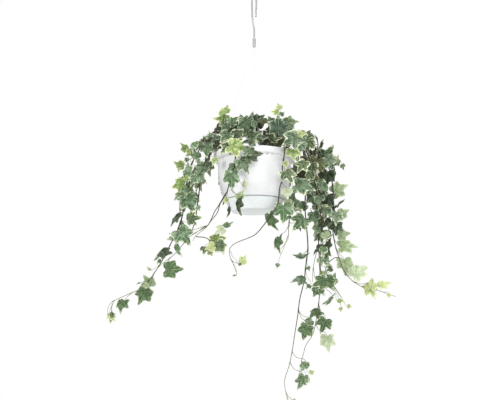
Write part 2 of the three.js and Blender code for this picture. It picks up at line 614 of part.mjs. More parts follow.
// Leaves by rule for the back: one at each node past the rim, on alternate sides, facing out and up,
// smaller towards the end
function ruledLeaves(stem) {
  const leaves = [];
  for (let k = 3; k < stem.nodes.length; k += 1) {
    const draw = drawsFor(stem.seed * 101 + k);
    const node = stem.nodes[k];
    const out = new THREE.Vector3(node.x, node.y, 0).normalize();
    const across = new THREE.Vector3(-out.y, out.x, 0).multiplyScalar(k % 2 ? 1 : -1);
    const size = (34 - 16 * (k / stem.nodes.length)) * (0.75 + 0.4 * draw());
    const tries = [];
    for (let n = 0; n < 8; n += 1) {
      const swing = (n % 2 ? -1 : 1) * 0.35 * n + 0.5 * (draw() - 0.5);
      const petiole = 10 + 9 * draw();
      const side = across.clone().applyAxisAngle(out, swing);
      const tip = new THREE.Vector3(0, 0, -0.75).addScaledVector(side, 0.55);
      tip.addScaledVector(out, 0.3).normalize();
      const face = new THREE.Vector3(0, 0, 0.45).add(out);
      face.addScaledVector(across, 0.5 * (draw() - 0.5));
      const knee = node.clone().addScaledVector(side, petiole * 0.75).addScaledVector(out, petiole * 0.7);
      const centre = knee.clone().addScaledVector(tip, kneeLength + midShare * lengthShare * size);
      tries.push(shapeLeaf(centre, tip, face, size, node, 0.7 + draw()));
    }
    leaves.push(tries);
  }
  return leaves;
}

function growIvy() {
  const all = [...plants, ...backStems.map(backPlant)];
  const obstacles = strapAngles.map((angle) => {
    const [high, low] = strapWay(THREE.MathUtils.degToRad(angle));
    return { points: [...between(high, low, 3), ...between(low, low.clone().setZ(-14), 3)] };
  });
  for (const one of all) {
    for (const stem of one.stems) {
      stem.curve = curveOf(stem, one.stems[0]);
      stem.steps = Math.max(3, Math.round(stem.curve.getLength() / internode));
      const rings = stem.curve.getSpacedPoints(stem.steps);
      stem.nodes = rings.slice(1).map((p, i) => p.clone().lerp(rings[i], 0.5));
      const points = rings.slice(1).flatMap((p, i) => between(rings[i], p, 3));
      obstacles.push({ points, plant: one.name });
    }
  }
  const taken = [];
  const roots = [];
  all.forEach((one, p) => {
    let solid = null;
    one.stems.forEach((stem, s) => {
      if (stem.root) roots.push(stem.root);
      const stalk = tube(stem.curve, stemRadius, stemSides, stem.steps);
      solid = solid ? solid.add(stalk) : stalk;
      const seed = 1000 * (p + 1) + 100 * s;
      const wanted = stem.leaves ? seenLeaves(stem, seed) : ruledLeaves(stem);
      for (const tries of wanted) {
        const leaf = tries.find((candidate) => isClear(candidate, one.name, taken, obstacles));
        if (!leaf) continue;
        taken.push({ plant: one.name, centre: leaf.centre, reach: leaf.reach, ...samplesOf(leaf) });
        solid = solid.add(leafSolid(leaf));
      }
    });
    addPart(one.name, solid, leafGreen);
  });
  makeSoil(roots);
}

const closer = (a, b, limit) => a.some((p) => b.some((q) => p.distanceToSquared(q) < limit * limit));

// Leaves of one plant may come nearer to each other than to another plant's.
function isClear(leaf, name, taken, obstacles) {
  const { blade, petiole } = samplesOf(leaf);
  const free = petiole.filter((p) => p.distanceTo(leaf.node) > 5);
  if (![...blade, ...free].every(clearOfPot)) return false;
  for (const obstacle of obstacles) {
    const own = obstacle.plant === name;
    if (closer(blade, obstacle.points, own ? ownClearance : stemClearance)) return false;
    if (!own && closer(free, obstacle.points, stemClearance)) return false;
  }
  for (const other of taken) {
    const own = other.plant === name;
    const gap = own ? ownClearance : stemClearance;
    if (other.centre.distanceTo(leaf.centre) < other.reach + leaf.reach + bladeClearance
      && closer(blade, other.blade, own ? ownClearance : bladeClearance)) return false;
    if (closer(blade, other.petiole, gap) || closer(free, other.blade, gap)) return false;
    if (!own && closer(free, other.petiole, gap)) return false;
  }
  return true;
}

makePot();
makeSaucer();
makeHanger();
growIvy();

export default plant;
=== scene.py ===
import math
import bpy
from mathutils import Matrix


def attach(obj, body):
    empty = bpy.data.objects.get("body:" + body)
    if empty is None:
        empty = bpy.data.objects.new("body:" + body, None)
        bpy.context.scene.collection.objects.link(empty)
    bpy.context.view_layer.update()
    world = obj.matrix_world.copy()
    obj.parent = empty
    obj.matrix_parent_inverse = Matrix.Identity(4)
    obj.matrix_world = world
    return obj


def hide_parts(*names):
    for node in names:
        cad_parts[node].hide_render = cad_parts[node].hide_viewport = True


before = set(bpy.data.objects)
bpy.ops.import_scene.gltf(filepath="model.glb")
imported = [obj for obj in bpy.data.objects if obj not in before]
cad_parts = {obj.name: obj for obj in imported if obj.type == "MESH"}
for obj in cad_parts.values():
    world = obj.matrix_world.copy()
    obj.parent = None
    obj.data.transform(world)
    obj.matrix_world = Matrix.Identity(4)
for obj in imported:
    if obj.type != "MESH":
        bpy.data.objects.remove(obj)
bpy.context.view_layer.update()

from types import SimpleNamespace

import bmesh
import bpy
import numpy as np
from mathutils import Matrix, Vector, noise
from mathutils.kdtree import KDTree

# A variegated English ivy in a white hanging pot. Numbers are millimetres, with z counted from the rim's top,
# until addPiece writes them in metres below the hook's seat.
millimetre = 0.001
hookSeat = 332
rimRadius = 75
soilTop = -12
soilCrown = 3

scene = bpy.context.scene


# Camera: level with the trailing ends, looking a little up
eye = np.array([-8.0, -1100.0, -281.0])
view = {"tilt": 0.178, "lens": 44.2, "sensor": 36}

cameraData = bpy.data.cameras.new("camera")
cameraData.lens = view["lens"]
cameraData.sensor_width = view["sensor"]
camera = bpy.data.objects.new("camera", cameraData)
camera.location = Vector(eye - [0, 0, hookSeat]) * millimetre
camera.rotation_euler = (math.pi / 2 + view["tilt"], 0, 0)
scene.collection.objects.link(camera)
scene.camera = camera
print("camera placed")


# Colours and nodes
def colour(code):
    parts = [int(code[i:i + 2], 16) / 255 for i in (1, 3, 5)]
    linear = [p / 12.92 if p <= 0.04045 else ((p + 0.055) / 1.055) ** 2.4 for p in parts]
    return (*linear, 1)


def setInputs(tree, node, **inputs):
    # an input has its socket's name, or _2 for the third one; a node or an output as its value is linked
    for name, value in inputs.items():
        socket = node.inputs[int(name[1:]) if name[0] == "_" else name.replace("_", " ")]
        if isinstance(value, bpy.types.Node):
            value = value.outputs[0]
        if isinstance(value, bpy.types.NodeSocket):
            tree.links.new(value, socket)
        else:
            socket.default_value = value


def addNode(tree, kind, settings=None, **inputs):
    node = tree.nodes.new("ShaderNode" + kind)
    for name, value in (settings or {}).items():
        setattr(node, name, value)
    setInputs(tree, node, **inputs)
    return node


def newMaterial(name):
    material = bpy.data.materials.new(name)
    material.use_nodes = True
    tree = material.node_tree
    return material, tree, tree.nodes["Principled BSDF"]


# Meshes: a part is its points, faces and what each point carries
def tube(points, radii, sides, youth=0):
    points = np.asarray(points, float)
    count = len(points)
    radii = np.broadcast_to(radii, count)
    ahead = np.gradient(points, axis=0)
    ahead /= np.linalg.norm(ahead, axis=1)[:, None]
    across = np.cross(ahead[0], [0.3, 0.9, 0.1] if abs(ahead[0][1]) < 0.7 else [1, 0, 0])
    turns = 2 * math.pi * np.arange(sides) / sides
    rings = []
    for place, way, radius in zip(points, ahead, radii):
        across = across - way * across.dot(way)
        across /= np.linalg.norm(across)
        other = np.cross(way, across)
        rings.append(place + radius * (np.cos(turns)[:, None] * across + np.sin(turns)[:, None] * other))
    faces = [tuple(range(sides))[::-1], tuple(range((count - 1) * sides, count * sides))]
    for i in range(count - 1):
        for k in range(sides):
            a, b = i * sides + k, i * sides + (k + 1) % sides
            faces.append((a, b, b + sides, a + sides))
    young = np.repeat(np.broadcast_to(youth, count), sides)
    return SimpleNamespace(points=np.concatenate(rings), faces=faces, youth=young[:, None])


def turned(profile, segments):
    # a profile of [radius, height] pairs from the axis round the outside and back to the axis
    angles = 2 * math.pi * np.arange(segments) / segments
    points, faces, rings = [], [], []
    for radius, height in profile:
        if radius < 1e-6:
            rings.append([len(points)] * segments)
            points.append((0, 0, height))
        else:
            rings.append(list(range(len(points), len(points) + segments)))
            points += [(radius * math.cos(a), radius * math.sin(a), height) for a in angles]
    for low, high in zip(rings, rings[1:]):
        for k in range(segments):
            n = (k + 1) % segments
            corners = list(dict.fromkeys((low[k], low[n], high[n], high[k])))
            if len(corners) > 2:
                faces.append(tuple(corners))
    return SimpleNamespace(points=np.array(points, float), faces=faces)


def rounded(profile, radius):
    # each corner of a profile becomes a short arc of four points
    points = [np.array(p, float) for p in profile]
    smooth = [profile[0]]
    for before, corner, after in zip(points, points[1:], points[2:]):
        back, on = before - corner, after - corner
        reach = min(radius, 0.45 * np.linalg.norm(back), 0.45 * np.linalg.norm(on))
        start = corner + back / np.linalg.norm(back) * reach
        end = corner + on / np.linalg.norm(on) * reach
        for t in np.linspace(0, 1, 4):
            smooth.append(tuple((1 - t) ** 2 * start + 2 * t * (1 - t) * corner + t * t * end))
    return smooth + [profile[-1]]


def addPiece(name, parts, materials, replaces, sharp=50, carried=()):
    # joins the parts into one mesh; carried names what the points take along for the materials
    points, faces, slots = [], [], []
    start = 0
    for part in parts:
        points.append(part.points)
        faces += [tuple(start + i for i in face) for face in part.faces]
        slots += [getattr(part, "material", 0)] * len(part.faces)
        start += len(part.points)
    points = (np.concatenate(points) - [0, 0, hookSeat]) * millimetre
    mesh = bpy.data.meshes.new(name)
    mesh.from_pydata(points.tolist(), [], faces)
    mesh.polygons.foreach_set("material_index", slots)
    mesh.polygons.foreach_set("use_smooth", [True] * len(faces))
    for key, width in carried:
        values = [np.broadcast_to(getattr(part, key, 0), (len(part.points), width)) for part in parts]
        layer = mesh.attributes.new(key, "FLOAT" if width == 1 else "FLOAT_VECTOR", "POINT")
        layer.data.foreach_set("value" if width == 1 else "vector",
                               np.concatenate(values).astype(np.float32).ravel())
    mesh.set_sharp_from_angle(angle=math.radians(sharp))
    mesh.update()
    piece = bpy.data.objects.new(name, mesh)
    for material in materials:
        mesh.materials.append(material)
    scene.collection.objects.link(piece)
    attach(piece, "root")
    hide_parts(*replaces)
    return piece


# Light and floor: a white studio with wide soft lights all round
studio = {
    "floorHeight": -1.25, "floorRadius": 3.0, "ambient": 0.36, "aim": (0, 0, -0.45),
    # place, width and power
    "lights": {
        "frontSoftbox": ((0.35, -2.3, -0.1), 0.9, 18),
        "leftSoftbox": ((-1.9, -1.5, 0.35), 1.3, 26),
        "rightSoftbox": ((2.1, -1.3, 0.2), 1.3, 13),
        "topSoftbox": ((0.1, -0.2, 1.6), 1.6, 26),
        "backSoftbox": ((0.2, 2.2, 0.5), 1.6, 16),
    },
}


def makeStudio():
    for name, (place, width, power) in studio["lights"].items():
        data = bpy.data.lights.new(name, "AREA")
        data.shape = "DISK"
        data.size = width
        data.energy = power
        light = bpy.data.objects.new(name, data)
        light.location = place
        light.rotation_euler = (Vector(studio["aim"]) - light.location).to_track_quat("-Z", "Y").to_euler()
        scene.collection.objects.link(light)

    # the backdrop is white, and lights the plant less than it shows
    world = bpy.data.worlds.new("studio")
    world.use_nodes = True
    scene.world = world
    tree, white = world.node_tree, colour("#FFFFFF")
    ambient = tree.nodes["Background"]
    setInputs(tree, ambient, Color=white, Strength=studio["ambient"])
    shown = addNode(tree, "Background", Color=white, Strength=1.0)
    inView = addNode(tree, "LightPath").outputs["Is Camera Ray"]
    mix = addNode(tree, "MixShader", _0=inView, _1=ambient, _2=shown)
    setInputs(tree, tree.nodes["World Output"], Surface=mix)
    scene.view_settings.view_transform = "Standard"

    # Painted board: matt white, with a faint roller stipple
    material, tree, shader = newMaterial("painted board")
    stipple = addNode(tree, "TexNoise", Scale=90.0, Detail=2.0)
    bump = addNode(tree, "Bump", Strength=0.05, Height=stipple)
    setInputs(tree, shader, Base_Color=colour("#F4F4F2"), Roughness=0.8, Normal=bump)
    mesh = bpy.data.meshes.new("floor")
    shape = bmesh.new()
    bmesh.ops.create_circle(shape, cap_ends=True, segments=96, radius=studio["floorRadius"])
    shape.to_mesh(mesh)
    shape.free()
    floor = bpy.data.objects.new("floor", mesh)
    floor.location.z = studio["floorHeight"]
    mesh.materials.append(material)
    scene.collection.objects.link(floor)


makeStudio()
print("studio lit")


# Moulded polypropylene: half gloss and a little see-through, with the faint unevenness of a mould, and dust,
# and a line of painted shade where the saucer's lip meets the pot's shoulder
def mouldedPlastic(name, base, shade, roughness):
    material, tree, shader = newMaterial(name)
    place = addNode(tree, "TexCoord").outputs["Object"]
    # smears some 70 mm across and dust specks some 6 mm apart
    uneven = addNode(tree, "TexNoise", Vector=place, Scale=14.0, Detail=4.0, Roughness=0.6)
    dust = addNode(tree, "TexNoise", Vector=place, Scale=160.0, Detail=3.0, Roughness=0.7)
    mixed = addNode(tree, "Math", {"operation": "MULTIPLY"}, _0=uneven, _1=dust)
    share = addNode(tree, "MapRange", Value=mixed, From_Min=0.15, From_Max=0.45)
    tint = addNode(tree, "Mix", {"data_type": "RGBA"}, _0=share, _6=colour(base), _7=colour(shade))
    # painted shade in the seam where the saucer's lip meets the pot's shoulder, a band 2 mm high
    seam = -(hookSeat + potSizes["shoulderDepth"] + 0.25) * millimetre
    height = addNode(tree, "SeparateXYZ", Vector=place).outputs["Z"]
    near = addNode(tree, "Math", {"operation": "COMPARE"}, _0=height, _1=seam, _2=0.001)
    seamShaded = addNode(tree, "Mix", {"data_type": "RGBA"}, _0=near, _6=tint.outputs[2],
                    _7=colour(potSizes["paintedSeamShade"]))
    rough = addNode(tree, "MapRange", Value=share, To_Min=roughness, To_Max=roughness + 0.14)
    # mould grain about 1.5 mm apart, drawn shallow
    skin = addNode(tree, "TexNoise", Vector=place, Scale=650.0, Detail=2.0)
    bump = addNode(tree, "Bump", Strength=0.06, Distance=0.0004, Height=skin)
    setInputs(tree, shader, Base_Color=seamShaded.outputs[2], Roughness=rough, Normal=bump, IOR=1.49,
              Subsurface_Weight=0.15, Subsurface_Radius=(0.004, 0.004, 0.004))
    return material


potSizes = {
    "wall": 1.5, "rimBand": 10.8, "body": 67, "shoulder": 53.6, "shoulderDepth": 84, "foot": 46, "depth": 94,
    # the seam colour is painted shade, a dark line where the saucer's lip meets the pot's shoulder
    "edge": 1.1, "segments": 144, "white": "#F7F8FA", "shade": "#EEF0F2", "paintedSeamShade": "#B9BFC3",
    "drainHoles": 3, "drainCircle": 30, "drainRadius": 3, "drillReach": 10,
    # three pairs of slots just under the rim band: bearing, half the angle in a pair, width, height
    "slotBearing": -67, "slotPair": 4, "slotWidth": 3.2, "slotHeight": 1.7, "punchReach": 9,
}


def makePot():
    wall, band, body = potSizes["wall"], potSizes["rimBand"], potSizes["body"]
    shoulder, shoulderDepth = potSizes["shoulder"], potSizes["shoulderDepth"]
    foot, depth = potSizes["foot"], potSizes["depth"]
    below = [(0, -depth), (foot, -depth), (shoulder - 4.4, -shoulderDepth - 0.1),
             (shoulder, -shoulderDepth), (58.4, -75), (63, -61), (66.3, -38), (66.9, -15.5)]
    outside = [(body, -band), (rimRadius, -band), (rimRadius, -1), (rimRadius - 1, 0),
               (rimRadius - 3.2, 0), (rimRadius - 3.2, -band + wall)]
    inside = [(body - wall, -band + wall), (61.5, -61), (shoulder - wall, -shoulderDepth + 3),
              (shoulder - 5.8, -shoulderDepth + 0.8), (foot - wall, -depth + wall), (0, -depth + wall)]
    shell = turned(rounded(below + outside + inside, potSizes["edge"]), potSizes["segments"])
    white = mouldedPlastic("white polypropylene", potSizes["white"], potSizes["shade"], 0.3)
    pot = addPiece("hangingPot", [shell], [white], ["pot"], 40)

    # drain holes and slots are cut with the shapes of a drill and a punch
    shape = bmesh.new()
    circle, drill = potSizes["drainCircle"], potSizes["drainRadius"]
    for i in range(potSizes["drainHoles"]):
        angle = 2 * math.pi * i / potSizes["drainHoles"]
        place = Matrix.Translation((circle * math.cos(angle), circle * math.sin(angle), -depth))
        bmesh.ops.create_cone(shape, cap_ends=True, segments=24, depth=potSizes["drillReach"], radius1=drill,
                              radius2=drill, matrix=place)
    wide, high = potSizes["slotWidth"], potSizes["slotHeight"]
    punched = Matrix.Translation((body, 0, -band - high))
    punched @= Matrix.Diagonal((potSizes["punchReach"], wide, high, 1))
    for third in range(3):
        for side in (-1, 1):
            bearing = math.radians(potSizes["slotBearing"] + 120 * third + side * potSizes["slotPair"])
            bmesh.ops.create_cube(shape, size=1, matrix=Matrix.Rotation(bearing, 4, "Z") @ punched)
    bmesh.ops.translate(shape, verts=shape.verts, vec=(0, 0, -hookSeat))
    bmesh.ops.scale(shape, verts=shape.verts, vec=(millimetre,) * 3)
    tool = bpy.data.meshes.new("punch")
    shape.to_mesh(tool)
    shape.free()
    punch = bpy.data.objects.new("punch", tool)
    scene.collection.objects.link(punch)
    cut = pot.modifiers.new("holes", "BOOLEAN")
    cut.object = punch
    cut.operation = "DIFFERENCE"
    graph = bpy.context.evaluated_depsgraph_get()
    done = bpy.data.meshes.new_from_object(pot.evaluated_get(graph))
    pot.modifiers.clear()
    pot.data = done
    bpy.data.objects.remove(punch)


saucerSizes = {"foot": 41, "depth": 105, "wall": 1.9, "edge": 0.9, "bluish": "#F4F8FA", "shade": "#EBF0F3"}


def makeSaucer():
    foot, depth, wall = saucerSizes["foot"], saucerSizes["depth"], saucerSizes["wall"]
    shoulder, lip = potSizes["shoulder"], -potSizes["shoulderDepth"] - 0.5
    profile = [(0, -depth + 1), (foot - 3, -depth + 1), (foot - 3, -depth), (foot + 0.6, -depth),
               (foot + 2, -depth + 1.4), (shoulder + 0.4, lip), (shoulder - 1.6, lip),
               (foot + 0.6, -depth + 1 + wall), (0, -depth + 1 + wall)]
    bluish = mouldedPlastic("bluish polypropylene", saucerSizes["bluish"], saucerSizes["shade"], 0.34)
    dish = turned(rounded(profile, saucerSizes["edge"]), potSizes["segments"])
    addPiece("saucerDish", [dish], [bluish], ["saucer"], 40)


makePot()
makeSaucer()
print("pot and saucer made")


# Soil: peat with bark crumbs and white perlite
soilLook = {"rings": 44, "segments": 150, "lip": 64.9, "crownRadius": 34, "lump": 2.2, "lumpRun": 11,
            "crumb": 0.9, "crumbRun": 2.3, "perlite": 90, "perliteWithin": 60}


def pottingSoil():
    # Peat compost: near black and dull, in crumbs 2 to 3 mm across, with fibre half as wide
    material, tree, shader = newMaterial("peat compost")
    place = addNode(tree, "TexCoord").outputs["Object"]
    crumbs = addNode(tree, "TexVoronoi", Vector=place, Scale=380.0)
    fibre = addNode(tree, "TexNoise", Vector=place, Scale=900.0, Detail=4.0)
    tone = addNode(tree, "Mix", {"data_type": "RGBA"}, _0=crumbs.outputs["Color"], _6=colour("#1B130E"),
                   _7=colour("#463425"))
    height = addNode(tree, "Math", {"operation": "ADD"}, _0=crumbs.outputs["Distance"], _1=fibre)
    bump = addNode(tree, "Bump", Strength=0.8, Distance=0.001, Height=height)
    setInputs(tree, shader, Base_Color=tone.outputs[2], Normal=bump, Roughness=0.95)
    return material


def perliteBeads():
    # Expanded perlite: chalky white, with pores finer than the beads
    material, tree, shader = newMaterial("expanded perlite")
    grain = addNode(tree, "TexNoise", Scale=700.0, Detail=3.0)
    tone = addNode(tree, "Mix", {"data_type": "RGBA"}, _0=grain, _6=colour("#BDB8AC"), _7=colour("#F1EEE6"))
    setInputs(tree, shader, Base_Color=tone.outputs[2], Roughness=0.9)
    return material


def makeSoil():
    lip, crumbRun, lumpRun = soilLook["lip"], soilLook["crumbRun"], soilLook["lumpRun"]
    side = [(0, -92.1), (44.1, -92.1), (47.4, -83.2), (51.7, -81), (61.1, -61), (lip, soilTop - 2)]
    top = []
    for radius in np.linspace(lip, 0, soilLook["rings"]):
        crown = soilCrown * min(1, (lip - radius) / (lip - soilLook["crownRadius"]))
        top.append((radius, soilTop + crown - (1.5 if radius == lip else 0)))
    body = turned(side + top, soilLook["segments"])
    for point in body.points:
        if point[2] > soilTop - 1.6:
            inward = min(1, (lip - math.hypot(point[0], point[1])) / 4)
            lump = noise.noise(Vector(point) / lumpRun) * soilLook["lump"]
            crumb = noise.noise(Vector(point) / crumbRun) * soilLook["crumb"]
            point[2] += (lump + crumb - 1.0) * max(inward, 0)
    draw = np.random.default_rng(4)
    beads = []
    for _ in range(soilLook["perlite"]):
        radius, angle = soilLook["perliteWithin"] * math.sqrt(draw.random()), 2 * math.pi * draw.random()
        size = 0.8 + draw.random()
        place = [radius * math.cos(angle), radius * math.sin(angle), soilTop + soilCrown * 0.7 - 0.4]
        bead = turned([(0, -1), (0.75, -0.6), (1, 0), (0.7, 0.65), (0, 1)], 7)
        squash = size * (0.8 + 0.4 * draw.random(3))
        beads.append(SimpleNamespace(points=bead.points * squash + place, faces=bead.faces, material=1))
    addPiece("pottingSoil", [body] + beads, [pottingSoil(), perliteBeads()], ["soil"], 60)


makeSoil()
print("soil filled")


# Clear polycarbonate: a glossy moulding, grey where it is thick enough to bend the light away
def clearPlastic(name, tint, opacity):
    material, tree, shader = newMaterial(name)
    # flow marks some 8 mm apart
    place = addNode(tree, "TexCoord").outputs["Object"]
    flow = addNode(tree, "TexNoise", Vector=place, Scale=120.0, Detail=2.0)
    rough = addNode(tree, "MapRange", Value=flow, To_Min=0.08, To_Max=0.2)
    setInputs(tree, shader, Roughness=rough, Base_Color=colour(tint), IOR=1.585, Alpha=opacity)
    return material


hanger = {
    "wire": 1.75, "bow": 16, "collarBottom": 213, "collarTop": 232, "collar": 3, "ribs": 4, "ribSpacing": 3.2,
    "ribHeight": 0.35, "strand": 0.8, "strapAngles": (35, -85, 155), "strapTop": (1.3, -1.1), "strapEnd": 2.5,
    "clipWidth": 6, "clipThickness": 1.6, "clipTop": 5, "clipHook": 2.4, "gap": 0.4,
    "thick": "#B4B9BC", "thickOpacity": 0.85, "thin": "#DCE0E2", "thinOpacity": 0.07,
}


def curveThrough(points):
    points = np.array(points, float)
    held = np.vstack([2 * points[0] - points[1], points, 2 * points[-1] - points[-2]])

    def at(share):
        share = np.asarray(share, float) * (len(points) - 1)
        i = np.minimum(share.astype(int), len(points) - 2)
        w = (share - i)[..., None]
        a, b, c, d = held[i], held[i + 1], held[i + 2], held[i + 3]
        leaving, arriving = (c - a) / 2, (d - b) / 2
        return (b + leaving * w + (3 * (c - b) - 2 * leaving - arriving) * w ** 2
                + (2 * (b - c) + leaving + arriving) * w ** 3)
    return at


def spacedPoints(points, spacing, least=3):
    # points a regular spacing apart along the curve
    at = curveThrough(points)
    shares = np.linspace(0, 1, 201)
    run = np.concatenate([[0], np.cumsum(np.linalg.norm(np.diff(at(shares), axis=0), axis=1))])
    steps = max(least, math.floor(run[-1] / spacing + 0.5))
    return at(np.interp(np.linspace(0, run[-1], steps + 1), run, shares))


def strapWay(turn):
    out = rimRadius + hanger["gap"] + hanger["clipThickness"] / 2
    toward = np.array([math.cos(turn), math.sin(turn), 0])
    beside, under = hanger["strapTop"]
    return toward * beside + [0, 0, hanger["collarBottom"] + under], toward * out + [0, 0, hanger["strapEnd"]]


def rimClip(turn):
    # a plate outside the rim that turns in under the rim band
    gap, thick, half, top = hanger["gap"], hanger["clipThickness"], hanger["clipWidth"] / 2, hanger["clipTop"]
    inner, outer = rimRadius + gap, rimRadius + gap + thick
    foot, under = potSizes["body"] + hanger["clipHook"], -potSizes["rimBand"] - gap
    section = [(inner, top), (inner, under), (foot, under), (foot, under - thick), (outer, under - thick),
               (outer, top)]
    cos, sin = math.cos(turn), math.sin(turn)
    points, count = [], len(section)
    for offset in (-half, half):
        points += [(r * cos - offset * sin, r * sin + offset * cos, z) for r, z in section]
    faces = [tuple(range(count)), tuple(range(2 * count - 1, count - 1, -1))]
    faces += [(i, i + count, (i + 1) % count + count, (i + 1) % count) for i in range(count)]
    return SimpleNamespace(points=np.array(points), faces=faces)


def makeHanger():
    across = np.array([-0.25, 0.968, 0])
    bow, wire, rib = hanger["bow"], hanger["wire"], hanger["ribHeight"]
    low, high, wide = hanger["collarBottom"], hanger["collarTop"], hanger["collar"]
    bowCentre = hookSeat + wire - bow
    route = [(0, high - 4), (0, 246), (6, 262), (14, 282), (bow, 300)]
    for angle in range(0, 181, 30):
        turn = math.radians(angle)
        route.append((bow * math.cos(turn), bowCentre + bow * math.sin(turn)))
    route += [(-bow, 298), (-bow + 1, 284), (-bow + 4, 270)]
    way = spacedPoints([across * u + [0, 0, z] for u, z in route], 1.6)
    hook = tube(way, wire, 20)
    tip = tube([way[-1], way[-1] - [0, 0, 0.9], way[-1] - [0, 0, 1.2]], [wire, wire * 0.8, wire * 0.4], 20)
    ribs = []
    for k in range(hanger["ribs"]):
        start = low + 4 + hanger["ribSpacing"] * k
        ribs += [(wide, start), (wide + rib, start + 0.5), (wide + rib, start + 1.5), (wide, start + 2)]
    collar = turned(rounded([(0, low), (wide - 0.6, low), (wide, low + 2), *ribs, (wide, high - 3),
                             (wire + 0.3, high), (0, high)], 0.4), 48)
    thick = clearPlastic("clear polycarbonate, thick", hanger["thick"], hanger["thickOpacity"])
    addPiece("ceilingHook", [hook, tip, collar], [thick], ["hanger_hook"], 45)
    thin = clearPlastic("clear polycarbonate, thin", hanger["thin"], hanger["thinOpacity"])
    for i, degrees in enumerate(hanger["strapAngles"]):
        turn = math.radians(degrees)
        strand = tube(np.linspace(*strapWay(turn), 40), hanger["strand"], 12)
        addPiece(f"hangerStrap.{i + 1}", [strand, rimClip(turn)], [thin], [f"hanger_strap_{i + 1}"],
                 35)


makeHanger()
print("hanger made")


